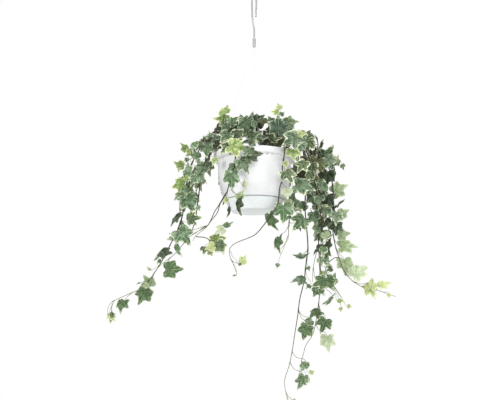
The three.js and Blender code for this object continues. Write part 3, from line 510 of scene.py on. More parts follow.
# The ivy. Each cutting has a stem from its root on the soil, and may have side stems that spring from the
# first one. A route is seen x, seen z and depth y. A leaf is seen x, seen z, its size, the way its tip
# points in degrees from +X, how far it is turned edge on, and its look. springs is the number of the
# first route's point where a side stem starts.
plants = {
    "ivy_left_front": [
        dict(root=(-24, -44), route=[(-27, 14, -50), (-31, 31, -62), (-34, 31, -74), (-35, 8, -82),
            (-36, -18, -81), (-44, -45, -78), (-50, -68, -76), (-56, -79, -74), (-63, -92, -72),
            (-67, -106, -70), (-78, -121, -68), (-88, -134, -66), (-104, -147, -63), (-111, -158, -60)],
            leaves=[(-42, -48, 31, 272, 0, "light"), (-18, -20, 30, 305, 0, "grey"),
            (-43, -24, 18, 210, 20, "light"), (-15, -50, 16, 60, 50, "verypale"),
            (-24, -72, 20, 65, 30, "pale"), (-27, -96, 30, 268, 68, "dark"),
            (-47, -106, 21, 262, 76, "dark"), (-53, -85, 12, 250, 30, "yellow"),
            (-28, 14, 37, 345, 0, "cream"), (0, 20, 18, 275, 40, "yellow"),
            (-53, 12, 26, 225, 20, "edged")]),
        dict(springs=7, route=[(-66, -95, -79), (-72, -104, -78), (-77, -116, -76), (-85, -130, -74),
            (-101, -140, -72), (-113, -146, -70)],
            leaves=[(-126, -151, 37, 312, 0, "light"), (-136, -176, 24, 285, 60, "light")]),
        dict(springs=12, route=[(-94, -151, -62), (-84, -154, -61), (-76, -163, -60)],
            leaves=[(-64, -140, 20, 215, 10, "verypale"), (-46, -127, 20, 20, 76, "light"),
            (-63, -155, 26, 20, 0, "lime"), (-60, -172, 26, 300, 10, "edged"),
            (-81, -170, 19, 200, 0, "yellow"), (-90, -176, 15, 265, 20, "edged"),
            (-78, -181, 11, 300, 0, "yellow")]),
    ],
    "ivy_left_outer": [
        dict(root=(-46, -18), route=[(-52, 14, -19), (-62, 24, -20), (-74, 16, -22), (-84, -3, -23),
            (-94, -20, -22), (-99, -46, -20), (-101, -70, -19), (-104, -97, -18), (-109, -128, -16),
            (-120, -152, -15), (-140, -178, -14), (-152, -189, -13), (-165, -199, -12), (-172, -206, -12)],
            leaves=[(-87, 9, 27, 268, 0, "mid"), (-105, -11, 11, 190, 20, "light"),
            (-101, -27, 28, 215, 0, "light"), (-97, -43, 28, 330, 10, "light"),
            (-112, -48, 24, 235, 15, "light"), (-117, -91, 39, 298, 0, "light"),
            (-108, -116, 27, 5, 20, "edged"), (-101, -99, 11, 300, 30, "light"),
            (-143, -209, 33, 2, 0, "fresh"), (-126, -70, 20, 280, 30, "light"),
            (-74, -12, 17, 245, 20, "lime"), (-60, 20, 20, 200, 30, "mid")]),
    ],
    "ivy_left_tail": [
        dict(root=(-50, 4), route=[(-57, 18, 5), (-68, 34, 8), (-84, 32, 12), (-100, 14, 15),
            (-112, -8, 14), (-121, -34, 12), (-125, -62, 10), (-128, -90, 8), (-131, -114, 6),
            (-140, -142, 4), (-150, -162, 4), (-160, -184, 4), (-172, -205, 4), (-186, -226, 3),
            (-198, -241, 2), (-215, -249, 1), (-240, -260, 0), (-254, -268, 0), (-259, -280, 0),
            (-257, -289, 0)],
            leaves=[(-140, -16, 22, 165, 50, "lime"), (-138, -24, 17, 250, 20, "lime"),
            (-122, -25, 30, 95, 48, "light"), (-140, -57, 26, 195, 30, "lime"),
            (-135, -45, 15, 150, 30, "lime"), (-117, -62, 24, 300, 20, "edged"),
            (-130, -76, 22, 260, 20, "lime"), (-140, -78, 20, 215, 10, "light"),
            (-143, -120, 29, 225, 25, "dark"), (-133, -134, 13, 200, 10, "yellow"),
            (-147, -147, 16, 170, 70, "olive"), (-151, -154, 17, 190, 70, "pale"),
            (-167, -183, 32, 207, 45, "dark"), (-172, -196, 12, 225, 20, "light"),
            (-189, -207, 10, 140, 60, "pale"), (-191, -229, 26, 118, 10, "pale"),
            (-190, -239, 14, 330, 20, "pale"), (-198, -258, 31, 245, 20, "fresh"),
            (-189, -250, 15, 300, 20, "light"), (-207, -234, 10, 205, 40, "light"),
            (-234, -275, 26, 255, 25, "fresh"), (-257, -292, 12, 230, 10, "yellow"),
            (-249, -295, 13, 300, 10, "yellow"), (-249, -288, 10, 5, 40, "fresh"),
            (-253, -300, 9, 255, 20, "lime")]),
    ],
    "ivy_left_crown": [
        dict(root=(-36, 22), route=[(-42, 20, 24), (-52, 38, 28), (-70, 46, 32), (-86, 40, 34),
            (-98, 26, 34), (-108, 8, 33), (-118, -8, 32)],
            leaves=[(-80, 38, 27, 105, 0, "grey"), (-60, 45, 20, 160, 20, "dark"),
            (-101, 22, 28, 150, 10, "edged"), (-118, 4, 22, 205, 0, "grey"),
            (-131, 17, 20, 125, 0, "lime"), (-124, 8, 12, 200, 10, "lime"), (-92, 30, 24, 100, 40, "mid"),
            (-112, 16, 22, 250, 40, "light"), (-72, 30, 26, 230, 30, "dark"),
            (-86, 24, 22, 285, 30, "dark"), (-106, -4, 19, 280, 30, "light")]),
        dict(springs=1, route=[(-57, 50, 20), (-58, 64, 18), (-57, 76, 17), (-55, 86, 17)],
            leaves=[(-63, 69, 30, 168, 0, "lime"), (-60, 86, 18, 108, 0, "lime"),
            (-51, 91, 16, 78, 10, "lime"), (-48, 66, 14, 30, 40, "mid")]),
    ],
    "ivy_crown_mid": [
        dict(root=(-20, -12), route=[(-23, 14, -12), (-26, 32, -14), (-28, 48, -14), (-26, 62, -14)],
            leaves=[(-38, 68, 24, 40, 10, "mid"), (-23, 70, 22, 110, 20, "dark"),
            (-15, 52, 36, 275, 0, "mid"), (-45, 46, 22, 200, 20, "dark"), (-34, 36, 24, 250, 20, "edged"),
            (-42, 57, 22, 160, 30, "dark"), (-56, 57, 22, 140, 40, "mid"), (-55, 34, 26, 235, 30, "mid"),
            (-30, 52, 24, 210, 40, "mid")]),
        dict(springs=1, route=[(-16, 40, -10), (-8, 52, -6), (-3, 62, -4)],
            leaves=[(-5, 72, 26, 68, 40, "grey"), (10, 72, 24, 33, 45, "blue"),
            (16, 63, 18, 265, 20, "olive"), (-9, 34, 26, 250, 0, "edged"), (2, 40, 22, 320, 30, "mid"),
            (0, 56, 20, 280, 40, "grey"), (14, 36, 26, 345, 60, "grey"), (-12, 66, 20, 95, 30, "mid")]),
    ],
    "ivy_front_short": [
        dict(root=(-2, -48), route=[(-3, 20, -50), (-7, 32, -64), (-8, 30, -78), (-5, 12, -86),
            (-1, -1, -88)],
            leaves=[(1, 2, 30, 10, 10, "dark"), (-14, 6, 18, 225, 30, "mid"),
            (-12, 26, 24, 180, 20, "dark"), (4, 36, 20, 60, 40, "mid")]),
    ],
    "ivy_hero": [
        dict(root=(24, -22), route=[(26, 12, -23), (30, 28, -25), (37, 40, -27), (42, 50, -22),
            (44, 66, -16), (44, 80, -12)],
            leaves=[(46, 60, 43, 86, 0, "blue"), (37, 84, 17, 172, 0, "lime"),
            (46, 96, 13, 110, 0, "yellow"), (53, 81, 10, 40, 20, "mid"), (30, 69, 17, 120, 30, "mid"),
            (24, 38, 30, 170, 68, "dark"), (38, 34, 26, 340, 72, "edged"), (58, 34, 20, 300, 40, "edged"),
            (28, 52, 18, 200, 40, "mid")]),
        dict(springs=2, route=[(50, 46, -22), (58, 54, -18)],
            leaves=[(70, 64, 28, 12, 10, "edged"), (70, 46, 26, 330, 30, "dark"),
            (88, 41, 20, 10, 20, "yellow")]),
    ],
    "ivy_right_front": [
        dict(root=(38, -34), route=[(42, 16, -40), (49, 30, -52), (55, 30, -63), (56, 8, -70),
            (52, -18, -70), (51, -44, -69), (46, -62, -69), (43, -88, -68), (37, -100, -66),
            (20, -125, -62), (3, -145, -58), (-12, -153, -54), (-30, -160, -50), (-42, -168, -47),
            (-45, -178, -46), (-42, -191, -45), (-35, -204, -44), (-32, -213, -44), (-32, -220, -44)],
            leaves=[(64, -41, 31, 300, 0, "edged"), (60, -72, 20, 275, 20, "verypale"),
            (72, 1, 27, 277, 0, "lime"), (66, 27, 36, 215, 0, "grey"), (-19, -190, 18, 62, 0, "yellow"),
            (-25, -200, 7, 330, 20, "light"), (58, -18, 13, 280, 30, "cream"),
            (-37, -220, 6, 200, 30, "light")]),
    ],
    "ivy_right_second": [
        dict(root=(48, -14), route=[(54, 14, -19), (64, 28, -29), (75, 24, -38), (81, -4, -43),
            (78, -40, -44), (73, -72, -44), (67, -100, -44), (62, -125, -43), (61, -150, -42),
            (57, -160, -42), (48, -172, -42)],
            leaves=[(53, -109, 36, 268, 0, "light"), (34, -125, 34, 292, 66, "fresh"),
            (44, -166, 32, 266, 62, "fresh"), (80, -127, 34, 228, 0, "mid"),
            (62, -90, 22, 260, 20, "verypale"), (74, -90, 32, 298, 70, "mid"),
            (41, -203, 9, 255, 10, "light"), (94, -60, 38, 345, 0, "mid"), (84, 12, 26, 250, 20, "grey"),
            (86, -22, 26, 235, 20, "edged")]),
    ],
    "ivy_right_long": [
        dict(root=(54, 6), route=[(60, 18, 7), (72, 30, 8), (86, 22, 8), (92, -4, 6), (94, -40, 3),
            (93, -70, 0), (92, -100, -3), (94, -130, -4), (96, -170, -4), (92, -200, -4), (88, -230, -4),
            (80, -262, -4), (76, -290, -4), (70, -324, -4), (66, -348, -4), (60, -375, -4), (52, -399, -4),
            (53, -416, -4), (58, -434, -4), (61, -448, -4)],
            leaves=[(77, -229, 27, 178, 48, "grey"), (87, -184, 28, 5, 80, "grey"),
            (97, -208, 9, 290, 30, "light"), (95, -240, 11, 215, 20, "light"),
            (88, -320, 28, 248, 10, "fresh"), (85, -378, 20, 245, 35, "light"),
            (80, -404, 27, 248, 30, "light"), (93, -304, 20, 215, 20, "light"),
            (92, 36, 20, 30, 30, "mid"), (104, -28, 28, 260, 10, "edged"), (84, -96, 24, 200, 20, "mid"),
            (68, -440, 16, 300, 10, "yellow"), (56, -455, 14, 262, 0, "light"),
            (106, -66, 28, 290, 20, "grey")]),
    ],
    "ivy_right_mid": [
        dict(root=(44, 24), route=[(52, 22, 27), (66, 36, 30), (86, 35, 31), (101, 18, 30), (109, -10, 28),
            (112, -50, 25), (114, -95, 22), (115, -140, 20), (116, -190, 18), (117, -230, 16),
            (115, -256, 15), (109, -295, 14), (102, -322, 13), (90, -340, 12), (85, -356, 12),
            (80, -374, 12), (77, -394, 12)],
            leaves=[(98, 18, 34, 265, 40, "edged"), (110, -22, 36, 250, 0, "olive"),
            (112, -55, 30, 235, 0, "edged"), (108, -84, 28, 280, 0, "mid"),
            (118, -102, 28, 240, 20, "pale"), (110, -118, 26, 285, 10, "mid"),
            (105, -288, 27, 205, 30, "fresh"), (121, -308, 29, 248, 0, "fresh"),
            (128, -339, 30, 272, 22, "verypale"), (93, -400, 10, 300, 20, "yellow"),
            (100, -386, 10, 20, 20, "yellow"), (116, 31, 22, 100, 80, "dark"),
            (116, 12, 16, 262, 70, "mid"), (112, -240, 18, 240, 20, "light")]),
    ],
    "ivy_right_dense": [
        dict(root=(26, 40), route=[(36, 26, 44), (56, 41, 49), (80, 42, 52), (103, 26, 52), (118, 0, 50),
            (127, -36, 46), (128, -75, 42), (124, -115, 38), (119, -145, 36), (112, -175, 35),
            (105, -205, 34), (103, -232, 34)],
            leaves=[(132, -45, 34, 262, 10, "dark"), (128, -87, 36, 245, 0, "dark"),
            (136, -106, 30, 285, 20, "dark"), (126, -126, 24, 250, 0, "dark"),
            (118, -130, 26, 265, 20, "dark"), (134, -130, 20, 280, 30, "mid"),
            (108, -250, 20, 235, 20, "light"), (112, -152, 18, 240, 30, "light"),
            (124, -14, 30, 20, 20, "olive"), (98, 40, 22, 60, 20, "olive"), (125, 24, 19, 80, 70, "olive"),
            (112, -70, 26, 200, 20, "olive")]),
    ],
    "ivy_right_inner": [
        dict(root=(52, -2), route=[(62, 16, -4), (78, 24, -8), (94, 12, -12), (104, -16, -14),
            (112, -60, -14), (119, -100, -13), (122, -140, -12), (119, -170, -12), (118, -205, -12),
            (120, -238, -12), (125, -256, -12)],
            leaves=[(133, -171, 28, 268, 70, "dark"), (124, -178, 18, 265, 40, "light"),
            (114, -233, 27, 205, 30, "fresh"), (135, -235, 27, 300, 10, "fresh"),
            (129, -264, 28, 217, 72, "grey"), (100, -42, 24, 240, 20, "edged"),
            (128, -62, 28, 300, 20, "mid"), (118, -86, 24, 260, 30, "grey"),
            (128, -108, 26, 262, 10, "mid"), (112, -140, 20, 250, 30, "mid"),
            (127, -196, 14, 262, 20, "light"), (120, -250, 12, 300, 30, "light")]),
    ],
    "ivy_right_outer": [
        dict(root=(40, 40), route=[(52, 26, 46), (76, 33, 54), (101, 25, 60), (121, 6, 62), (135, -18, 60),
            (142, -46, 54), (144, -90, 48), (141, -130, 44), (145, -165, 42), (152, -190, 40),
            (160, -212, 38), (173, -228, 37), (190, -239, 36), (208, -243, 35), (222, -247, 34),
            (236, -252, 34), (250, -257, 34)],
            leaves=[(136, 4, 40, 62, 0, "mid"), (153, -8, 21, 84, 30, "pale"),
            (163, -22, 13, 280, 40, "pale"), (146, -36, 28, 262, 74, "dark"),
            (157, -62, 33, 28, 0, "pale"), (157, -88, 26, 48, 74, "dark"), (163, -106, 24, 35, 0, "pale"),
            (148, -118, 28, 265, 0, "grey"), (147, -137, 26, 262, 0, "dark"),
            (162, -146, 25, 8, 20, "pale"), (170, -168, 36, 2, 28, "pale"),
            (162, -205, 34, 275, 10, "pale"), (190, -211, 38, 38, 22, "verypale"),
            (208, -234, 24, 75, 0, "yellow"), (208, -248, 30, 300, 0, "yellow"),
            (232, -235, 25, 20, 20, "yellow"), (238, -256, 10, 280, 0, "yellow"),
            (140, -16, 30, 300, 20, "grey")]),
        dict(springs=9, route=[(142, -189, 35), (130, -200, 34), (127, -212, 34), (131, -224, 34),
            (143, -241, 33), (154, -258, 33)],
            leaves=[(141, -224, 21, 70, 10, "light"), (154, -265, 15, 350, 35, "lime"),
            (152, -280, 9, 262, 20, "yellow"), (168, -274, 9, 350, 20, "yellow")]),
    ],
}

# Stems that go over the back of the rim: name, bearing in degrees, reach beyond the rim, drop, seed
backStems = [
    ("ivy_back_right", 47, 34, 122, 3),
    ("ivy_back_right_mid", 70, 24, 86, 5),
    ("ivy_back_mid", 92, 30, 70, 8),
    ("ivy_back_left_mid", 113, 24, 86, 12),
    ("ivy_back_left", 121, 14, 62, 17),
    ("ivy_back_far_left", 150, 66, 150, 23),
]

# Small leaves that thicken the growth where it is densest: seen x and z of the middle, half width, half
# height, nearest and farthest depth, how many, smallest and largest size, looks. Most of their looks are the
# darker ones that paint the shade deep inside the growth
thickets = [
    (-56, 38, 20, 17, -25, 45, 28, 13, 24, ("shade", "dark", "shade", "edged")),
    (-84, 20, 18, 14, -10, 40, 14, 12, 22, ("shade", "dark", "edged")),
    (-8, 50, 22, 14, -25, 30, 16, 12, 22, ("dark", "mid", "shade", "grey")),
    (32, 28, 24, 13, -15, 45, 22, 14, 24, ("shade", "olive", "shade", "dark")),
    (92, 18, 13, 16, -45, 55, 13, 13, 22, ("shade", "olive", "shade", "edged")),
    (92, 36, 18, 7, 18, 62, 8, 13, 20, ("dark", "shade", "mid", "olive")),
    (112, -35, 27, 40, -30, 60, 60, 13, 25, ("olive", "shade", "edged", "shade", "dark")),
    (124, -110, 19, 45, -25, 50, 40, 13, 23, ("light", "olive", "pale", "shade", "edged")),
    (122, -190, 13, 40, -15, 45, 12, 12, 20, ("mid", "olive", "pale")),
    (-118, -50, 17, 45, -25, 15, 12, 9, 16, ("mid", "lime", "olive")),
]

# Bare shoots that run beside a stem from the soil over the rim: how many, and for how many mm of it
bareShoots = {"ivy_left_crown": (2, 120), "ivy_left_tail": (2, 130), "ivy_left_outer": (1, 130),
              "ivy_crown_mid": (2, 90), "ivy_hero": (2, 80), "ivy_right_second": (2, 120),
              "ivy_right_long": (2, 180), "ivy_right_mid": (2, 260), "ivy_right_dense": (2, 230),
              "ivy_right_inner": (2, 250), "ivy_right_outer": (2, 170)}

# What a leaf looks like: ground, marbling and margin, how marbled it is, and how wide its margin
leafLooks = {
    # painted shade: the darkest look, for leaves deep inside the growth
    "shade": ("#2A3320", "#3D4A2E", "#7C8860", 0.4, 0.08),
    # in part a darker green leaf, in part painted shade for leaves in the shadowed mass
    "dark": ("#303F2A", "#4D5F43", "#A5B18F", 0.45, 0.1),
    "mid": ("#425B3C", "#6C8664", "#D2DAB8", 0.5, 0.16),
    "light": ("#507048", "#829D7A", "#DCE3C6", 0.5, 0.16),
    "blue": ("#3B5340", "#5D755C", "#C3CDAE", 0.45, 0.13),
    "fresh": ("#446039", "#607C51", "#C6D0AA", 0.4, 0.15),
    "grey": ("#4E6549", "#7D9274", "#D0D8BC", 0.55, 0.17),
    # in part an olive green leaf, in part painted shade
    "olive": ("#414A2A", "#5E6840", "#9FA673", 0.4, 0.09),
    "edged": ("#43583A", "#697F58", "#DCE2BC", 0.5, 0.2),
    "cream": ("#8AA25C", "#B4C584", "#DDE2B4", 0.55, 0.26),
    # pale and verypale are in part a pale variegation, in part painted light shining through leaves lit from
    # behind
    "pale": ("#9BAF82", "#B6C69D", "#CBD5B1", 0.5, 0.16),
    "verypale": ("#BCCBA4", "#CDD9B8", "#E0E7CC", 0.5, 0.18),
    "yellow": ("#B5C581", "#CAD59A", "#E3E8BA", 0.5, 0.2),
    "lime": ("#809A55", "#A3B87A", "#D4DDA4", 0.5, 0.22),
}

# A half outline from tip to base, as degrees from the tip, distance from the notch, lift and kind, and the
# directions of the main veins
leafForms = {
    "full": dict(veins=(0, 50, 114), keys=[
        (0, 1, -0.1, "tip"), (24, 0.58, 0.035, "bay"), (50, 0.74, -0.05, "tip"), (81, 0.49, 0.04, "bay"),
        (114, 0.52, -0.03, "tip"), (143, 0.33, -0.01, "base"), (170, 0.1, 0, "base")]),
    "young": dict(veins=(0, 55, 108), keys=[
        (0, 1, -0.1, "tip"), (26, 0.57, 0.03, "bay"), (55, 0.67, -0.04, "tip"), (108, 0.47, 0.02, "base"),
        (142, 0.3, 0, "base"), (168, 0.09, 0, "base")]),
}
# Where points stand along an outline's stretch, the few of a small leaf, how far it swells, and how far it
# turns in at its bay
edgeRuns = {
    "tip to bay": ((0, 0.07, 0.28, 0.55, 0.82), (0, 0.5), 0.11, 1.35),
    "bay to tip": ((0, 0.18, 0.45, 0.72, 0.93), (0, 0.5), 0.11, -1.35),
    "tip to base": ((0, 0.08, 0.4, 0.75), (0, 0.5), 0.15, 0),
    "base to base": ((0, 0.5), (0,), 0.12, 0),
}
leafSizes = {"lengthShare": 0.88, "midShare": 0.42, "knee": 3.5, "youngBelow": 26, "edgeOn": 40,
             "thickness": 0.5, "edgeThins": 0.55, "solidThickness": 0.8, "droop": -0.1,
             "rings": (0.12, 0.3, 0.5, 0.7, 0.87, 1.0), "fewRings": (0.5, 1.0)}
# for the main and the side stems, the share of the radius at the root and how green they are there
stemSizes = {"radius": 1.05, "tipRadius": 0.42, "shoot": 0.75, "sides": 8, "step": 4, "internode": 18,
             "rootDepth": 10, "mainStem": (1.2, 0), "sideStem": (0.75, 0.15), "nodeSwell": 0.4,
             "nodeLength": 2.2, "greenFrom": 0.62, "greenOver": 0.35}
# how far before or behind its stem a leaf is tried, in turn
depthTries = (-5, 4, -11, 10, -17, 16, -23, 22, -29, 28, -36, 35, -43, 42)


def drawsFor(seed):
    state = (seed * 7919 + 104729) % 2147483647

    def draw():
        nonlocal state
        state = (state * 16807) % 2147483647
        return state / 2147483647
    draw()
    draw()
    return draw


def seenAt(x, z, y):
    # a place seen at x, z on the plane through the pot's axis, carried along the line of sight to depth y
    reach = (y - eye[1]) / -eye[1]
    return (np.array([x, 0.0, z]) - eye) * reach + eye


def turnAbout(vector, axis, angle):
    cos, sin = math.cos(angle), math.sin(angle)
    return vector * cos + np.cross(axis, vector) * sin + axis * np.dot(axis, vector) * (1 - cos)


def unit(vector):
    return vector / np.linalg.norm(vector)


def distance(points, place):
    return np.linalg.norm(np.asarray(points) - place, axis=-1)


def stretchBehind(size):
    # from a leaf's middle back to where its petiole bends into the blade
    return leafSizes["midShare"] * leafSizes["lengthShare"] * size + leafSizes["knee"]


def shapeLeaf(centre, tip, face, size, node, curl, look, seed):
    length = size * leafSizes["lengthShare"]
    up = unit(face - tip * np.dot(face, tip))
    notch = centre - tip * leafSizes["midShare"] * length
    return SimpleNamespace(notch=notch, tip=tip, up=up, side=np.cross(tip, up), length=length, curl=curl,
                           node=node, knee=notch - tip * leafSizes["knee"], look=look, seed=seed,
                           form="young" if size < leafSizes["youngBelow"] else "full",
                           centre=centre, size=size)


def nodeFor(nodes, knee):
    # the node a petiole springs from: one above the nearest, so that it leaves at a slant
    nearest = int(np.argmin(distance(nodes, knee)))
    return nodes[max(min(2, nearest), nearest - 1)]


def facing(draw, degrees, turn, loose=1):
    # which way a leaf's tip points and its blade faces, when its tip is seen at some angle
    angle, lean = math.radians(degrees), 0.7 * (draw() - 0.35)
    tip = np.array([math.cos(angle) * math.cos(lean), -math.sin(lean), math.sin(angle) * math.cos(lean)])
    face = np.array([loose * 0.8 * (draw() - 0.5), -1, loose * (0.15 + 0.5 * draw())])
    spin = math.radians(turn) * (-1 if draw() < 0.5 else 1)
    return tip, turnAbout(unit(face - tip * np.dot(face, tip)), tip, spin)


def seenLeaves(stem, seed):
    wanted = []
    bare = stem.nodes[1:] if stem.root else stem.nodes
    for k, (x, z, size, degrees, turn, look) in enumerate(stem.leaves):
        draw = drawsFor(seed + 31 * k + size)
        tip, face = facing(draw, degrees, turn, 0.2 if turn > leafSizes["edgeOn"] else 1)
        curl = 0.7 + draw()
        near = min(bare, key=lambda p: distance(p, seenAt(x, z, p[1])))
        tries = []
        for offset in depthTries:
            centre = seenAt(x, z, near[1] + offset)
            node = nodeFor(stem.nodes, centre - tip * stretchBehind(size))
            tries.append(shapeLeaf(centre, tip, face, size, node, curl, look, seed + k))
        wanted.append(tries)
    return wanted


# Leaves for the back, where no photograph shows them: sizes in mm, tries and how far each swings round
backLeaves = {"looks": ("mid", "dark", "edged", "grey", "mid", "pale"), "largest": 34, "shrinks": 16,
              "tries": 8, "swing": 0.35, "petiole": (10, 9)}


def ruledLeaves(stem, seed):
    # one at each node past the rim, on alternate sides, smaller towards the end
    wanted = []
    for k in range(3, len(stem.nodes)):
        draw = drawsFor(stem.seed * 101 + k)
        node = stem.nodes[k]
        out = unit(np.array([node[0], node[1], 0]))
        across = np.array([-out[1], out[0], 0]) * (1 if k % 2 else -1)
        size = (backLeaves["largest"] - backLeaves["shrinks"] * (k / len(stem.nodes))) * (0.75 + 0.4 * draw())
        look = backLeaves["looks"][(k + stem.seed) % len(backLeaves["looks"])]
        shortest, more = backLeaves["petiole"]
        tries = []
        for n in range(backLeaves["tries"]):
            swing = (-1 if n % 2 else 1) * backLeaves["swing"] * n + 0.5 * (draw() - 0.5)
            petiole = shortest + more * draw()
            side = turnAbout(across, out, swing)
            tip = unit(np.array([0, 0, -0.75]) + side * 0.55 + out * 0.3)
            face = np.array([0, 0, 0.45]) + out + across * 0.5 * (draw() - 0.5)
            knee = node + side * petiole * 0.75 + out * petiole * 0.7
            centre = knee + tip * stretchBehind(size)
            tries.append(shapeLeaf(centre, tip, face, size, node, 0.7 + draw(), look, seed + k))
        wanted.append(tries)
    return wanted


def leafInFrame(tries, tree):
    # the frame's solid has its own leaf at one of the tries: its tip's upper and lower corners are there
    for leaf in tries:
        end = leaf.notch + leaf.tip * leaf.length + leaf.up * leaf.length * leafSizes["droop"] * leaf.curl
        half = leaf.up * leafSizes["solidThickness"] / 2
        if all(tree.find(place)[2] < 0.15 for place in (end + half, end - half)):
            return leaf
    return None


def outlineOf(form, draw, coarse):
    # one side from the tip to the base, in unit lengths: across, along, lift and degrees
    keys = []
    for degrees, reach, lift, kind in leafForms[form]["keys"]:
        spread = 1 + (0.06 * (draw() - 0.5) if kind != "base" else 0)
        angle = math.radians(degrees + (5 * (draw() - 0.5) if 0 < degrees < 120 else 0))
        place = (math.sin(angle) * reach * spread, math.cos(angle) * reach * spread)
        keys.append((*place, lift, degrees, kind))
    rows, soft = [], []
    for start, end in zip(keys, keys[1:]):
        run = "bay to tip" if start[4] == "bay" else f"{start[4]} to {end[4]}"
        shares, few, swell, inward = edgeRuns[run]
        way = np.array([end[0] - start[0], end[1] - start[1]])
        outward = np.array([-way[1], way[0]])
        if outward @ [start[0] + end[0], start[1] + end[1]] < 0:
            outward = -outward
        for share in few if coarse else shares:
            bow = 1 - inward * share if inward >= 0 else 1 + inward * (1 - share)
            place = np.array(start[:2]) + way * share + outward * swell * bow * math.sin(math.pi * share)
            eased = share * share * (3 - 2 * share)
            rows.append((*place, *(start[i] + (end[i] - start[i]) * eased for i in (2, 3))))
            soft.append(share > 0 or start[4] != "tip")
    rows = np.array(rows + [keys[-1][:4]], float)
    soft = np.array(soft[1:])
    for _ in range(0 if coarse else 2):
        middle = (rows[:-2, :2] + rows[2:, :2]) / 2
        rows[1:-1, :2] = np.where(soft[:, None], 0.65 * rows[1:-1, :2] + 0.35 * middle, rows[1:-1, :2])
    return rows


# A blade's form, as shares of its length: swollen between its veins and sunk at them, with large and small
# waves and how often they come, a least and a further fold along the midrib, a twist, and a bend to one side
bladeForm = {"veinDegrees": 5, "swell": 0.03, "sink": 0.008, "waves": (0.02, 0.55), "ripples": (0.008, 1.3),
             "fold": (0.04, 0.12), "twist": 0.16, "sway": 0.12, "sideVeinSlant": 0.9}


def blade(leaf, coarse=False):
    draw = drawsFor(leaf.seed * 13 + 5)
    right, left = outlineOf(leaf.form, draw, coarse), outlineOf(leaf.form, draw, coarse)
    rows = np.vstack([right[::-1], left[1:] * [-1, 1, 1, 1]])
    rings = np.array(leafSizes["fewRings" if coarse else "rings"])
    count, depth = len(rows), len(rings)
    off = np.abs(rows[:, 3:] - leafForms[leaf.form]["veins"]).min(1)
    veined = np.exp(-(off / bladeForm["veinDegrees"]) ** 2)[:, None]
    number = np.arange(count)[:, None]

    share = rings[None, :]
    flat = rows[:, None, :2] * share[..., None]
    lift = leaf.curl * rows[:, 2:3] * share ** 1.3
    lift = lift + bladeForm["swell"] * np.sin(math.pi * share) * (1 - veined) - bladeForm["sink"] * veined
    (wave, often), (ripple, oftener) = bladeForm["waves"], bladeForm["ripples"]
    edge = wave * np.sin(number * often + 6 * draw()) + ripple * np.sin(number * oftener)
    least, further = bladeForm["fold"]
    fold = least + further * draw()
    twist, sway = bladeForm["twist"] * (draw() - 0.5), bladeForm["sway"] * (draw() - 0.5)
    lift = lift + edge * share ** 3 + fold * np.abs(flat[..., 0]) ** 1.2
    lift = lift + twist * flat[..., 0] * flat[..., 1]
    span = np.hypot(flat[..., 0], flat[..., 1])
    slant = flat[..., 1] - bladeForm["sideVeinSlant"] * np.abs(flat[..., 0])
    flat[..., 0] += sway * flat[..., 1] ** 2

    # from here on each has one row a point, the first at the notch
    flat = np.vstack([[[0, 0]], flat.reshape(-1, 2)])
    lift = np.concatenate([[0], lift.ravel()])[:, None]
    rim = np.concatenate([[0], np.tile(rings, count)])
    vein = np.concatenate([[0], (span * np.sin(np.radians(np.minimum(off, 90)))[:, None]).ravel()])
    slant = np.concatenate([[0], slant.ravel()])
    centre = leaf.notch + leaf.length * (flat[:, :1] * leaf.side + flat[:, 1:] * leaf.tip + lift * leaf.up)
    half = leaf.up * leafSizes["thickness"] / 2 * (1 - leafSizes["edgeThins"] * rim[:, None] ** 4)
    total = len(centre)

    # corner is the number of the point on one row at one ring
    corner = 1 + np.arange(count * depth).reshape(count, depth)
    faces = [(0, a, b) for a, b in zip(corner[:, 0], corner[1:, 0])]
    for j in range(depth - 1):
        inner, outer = corner[:, j], corner[:, j + 1]
        faces += list(zip(inner, outer, outer[1:], inner[1:]))
    faces += [tuple(total + c for c in reversed(face)) for face in faces]
    border = [0, *corner[0], *corner[1:-1, -1], *corner[-1, ::-1]]
    faces += [(total + a, total + b, b, a) for a, b in zip(border, border[1:] + border[:1])]

    *codes, marbled, edged = leafLooks[leaf.look]
    spot = np.column_stack([flat * leaf.length, np.full(total, 10 * draw())])
    edged, marbled = edged * (0.7 + 0.7 * draw()), marbled * (0.8 + 0.4 * draw())
    shares = [[edged, marbled, 0.0]] * total + [[edged, marbled, 1.0]] * total
    lines = np.column_stack([vein * leaf.length, slant * leaf.length, rim])
    shade = 0.86 + 0.28 * draw()
    ground, marble, margin = (np.array(colour(code)[:3]) * shade for code in codes)
    return SimpleNamespace(points=np.vstack([centre + half, centre - half]), faces=faces,
                           leafSpot=np.tile(spot, (2, 1)), leafVeins=np.tile(lines, (2, 1)),
                           leafShares=np.array(shares), leafGround=ground, leafMarble=marble,
                           leafMargin=margin)


# A petiole's radius and how it tapers, its share on small leaves, and how far it follows the stem and bows up
petioleForm = {"radius": 0.5, "taperAt": (0, 0.1, 0.3, 1), "taper": (1.6, 1.15, 0.9, 0.95), "spacing": 2.6,
               "thin": 0.7, "thinBelow": 14, "follow": 0.12, "bow": 0.04}


def petioleOf(leaf, onward, youth=0.75):
    run = leaf.knee - leaf.node
    far = np.linalg.norm(run)
    bow = leaf.node + run * 0.35 + onward * far * petioleForm["follow"]
    late = leaf.knee - run * 0.2 + np.array([0, 0, petioleForm["bow"] * far])
    way = [leaf.node, bow, late, leaf.knee, leaf.notch + leaf.tip * 1.2]
    points = spacedPoints(way, petioleForm["spacing"], 5)
    thin = petioleForm["thin"] if leaf.length < petioleForm["thinBelow"] else 1
    taper = np.interp(np.linspace(0, 1, len(points)), petioleForm["taperAt"], petioleForm["taper"])
    part = tube(points, petioleForm["radius"] * thin * taper, 6, youth)
    part.material = 1
    return part


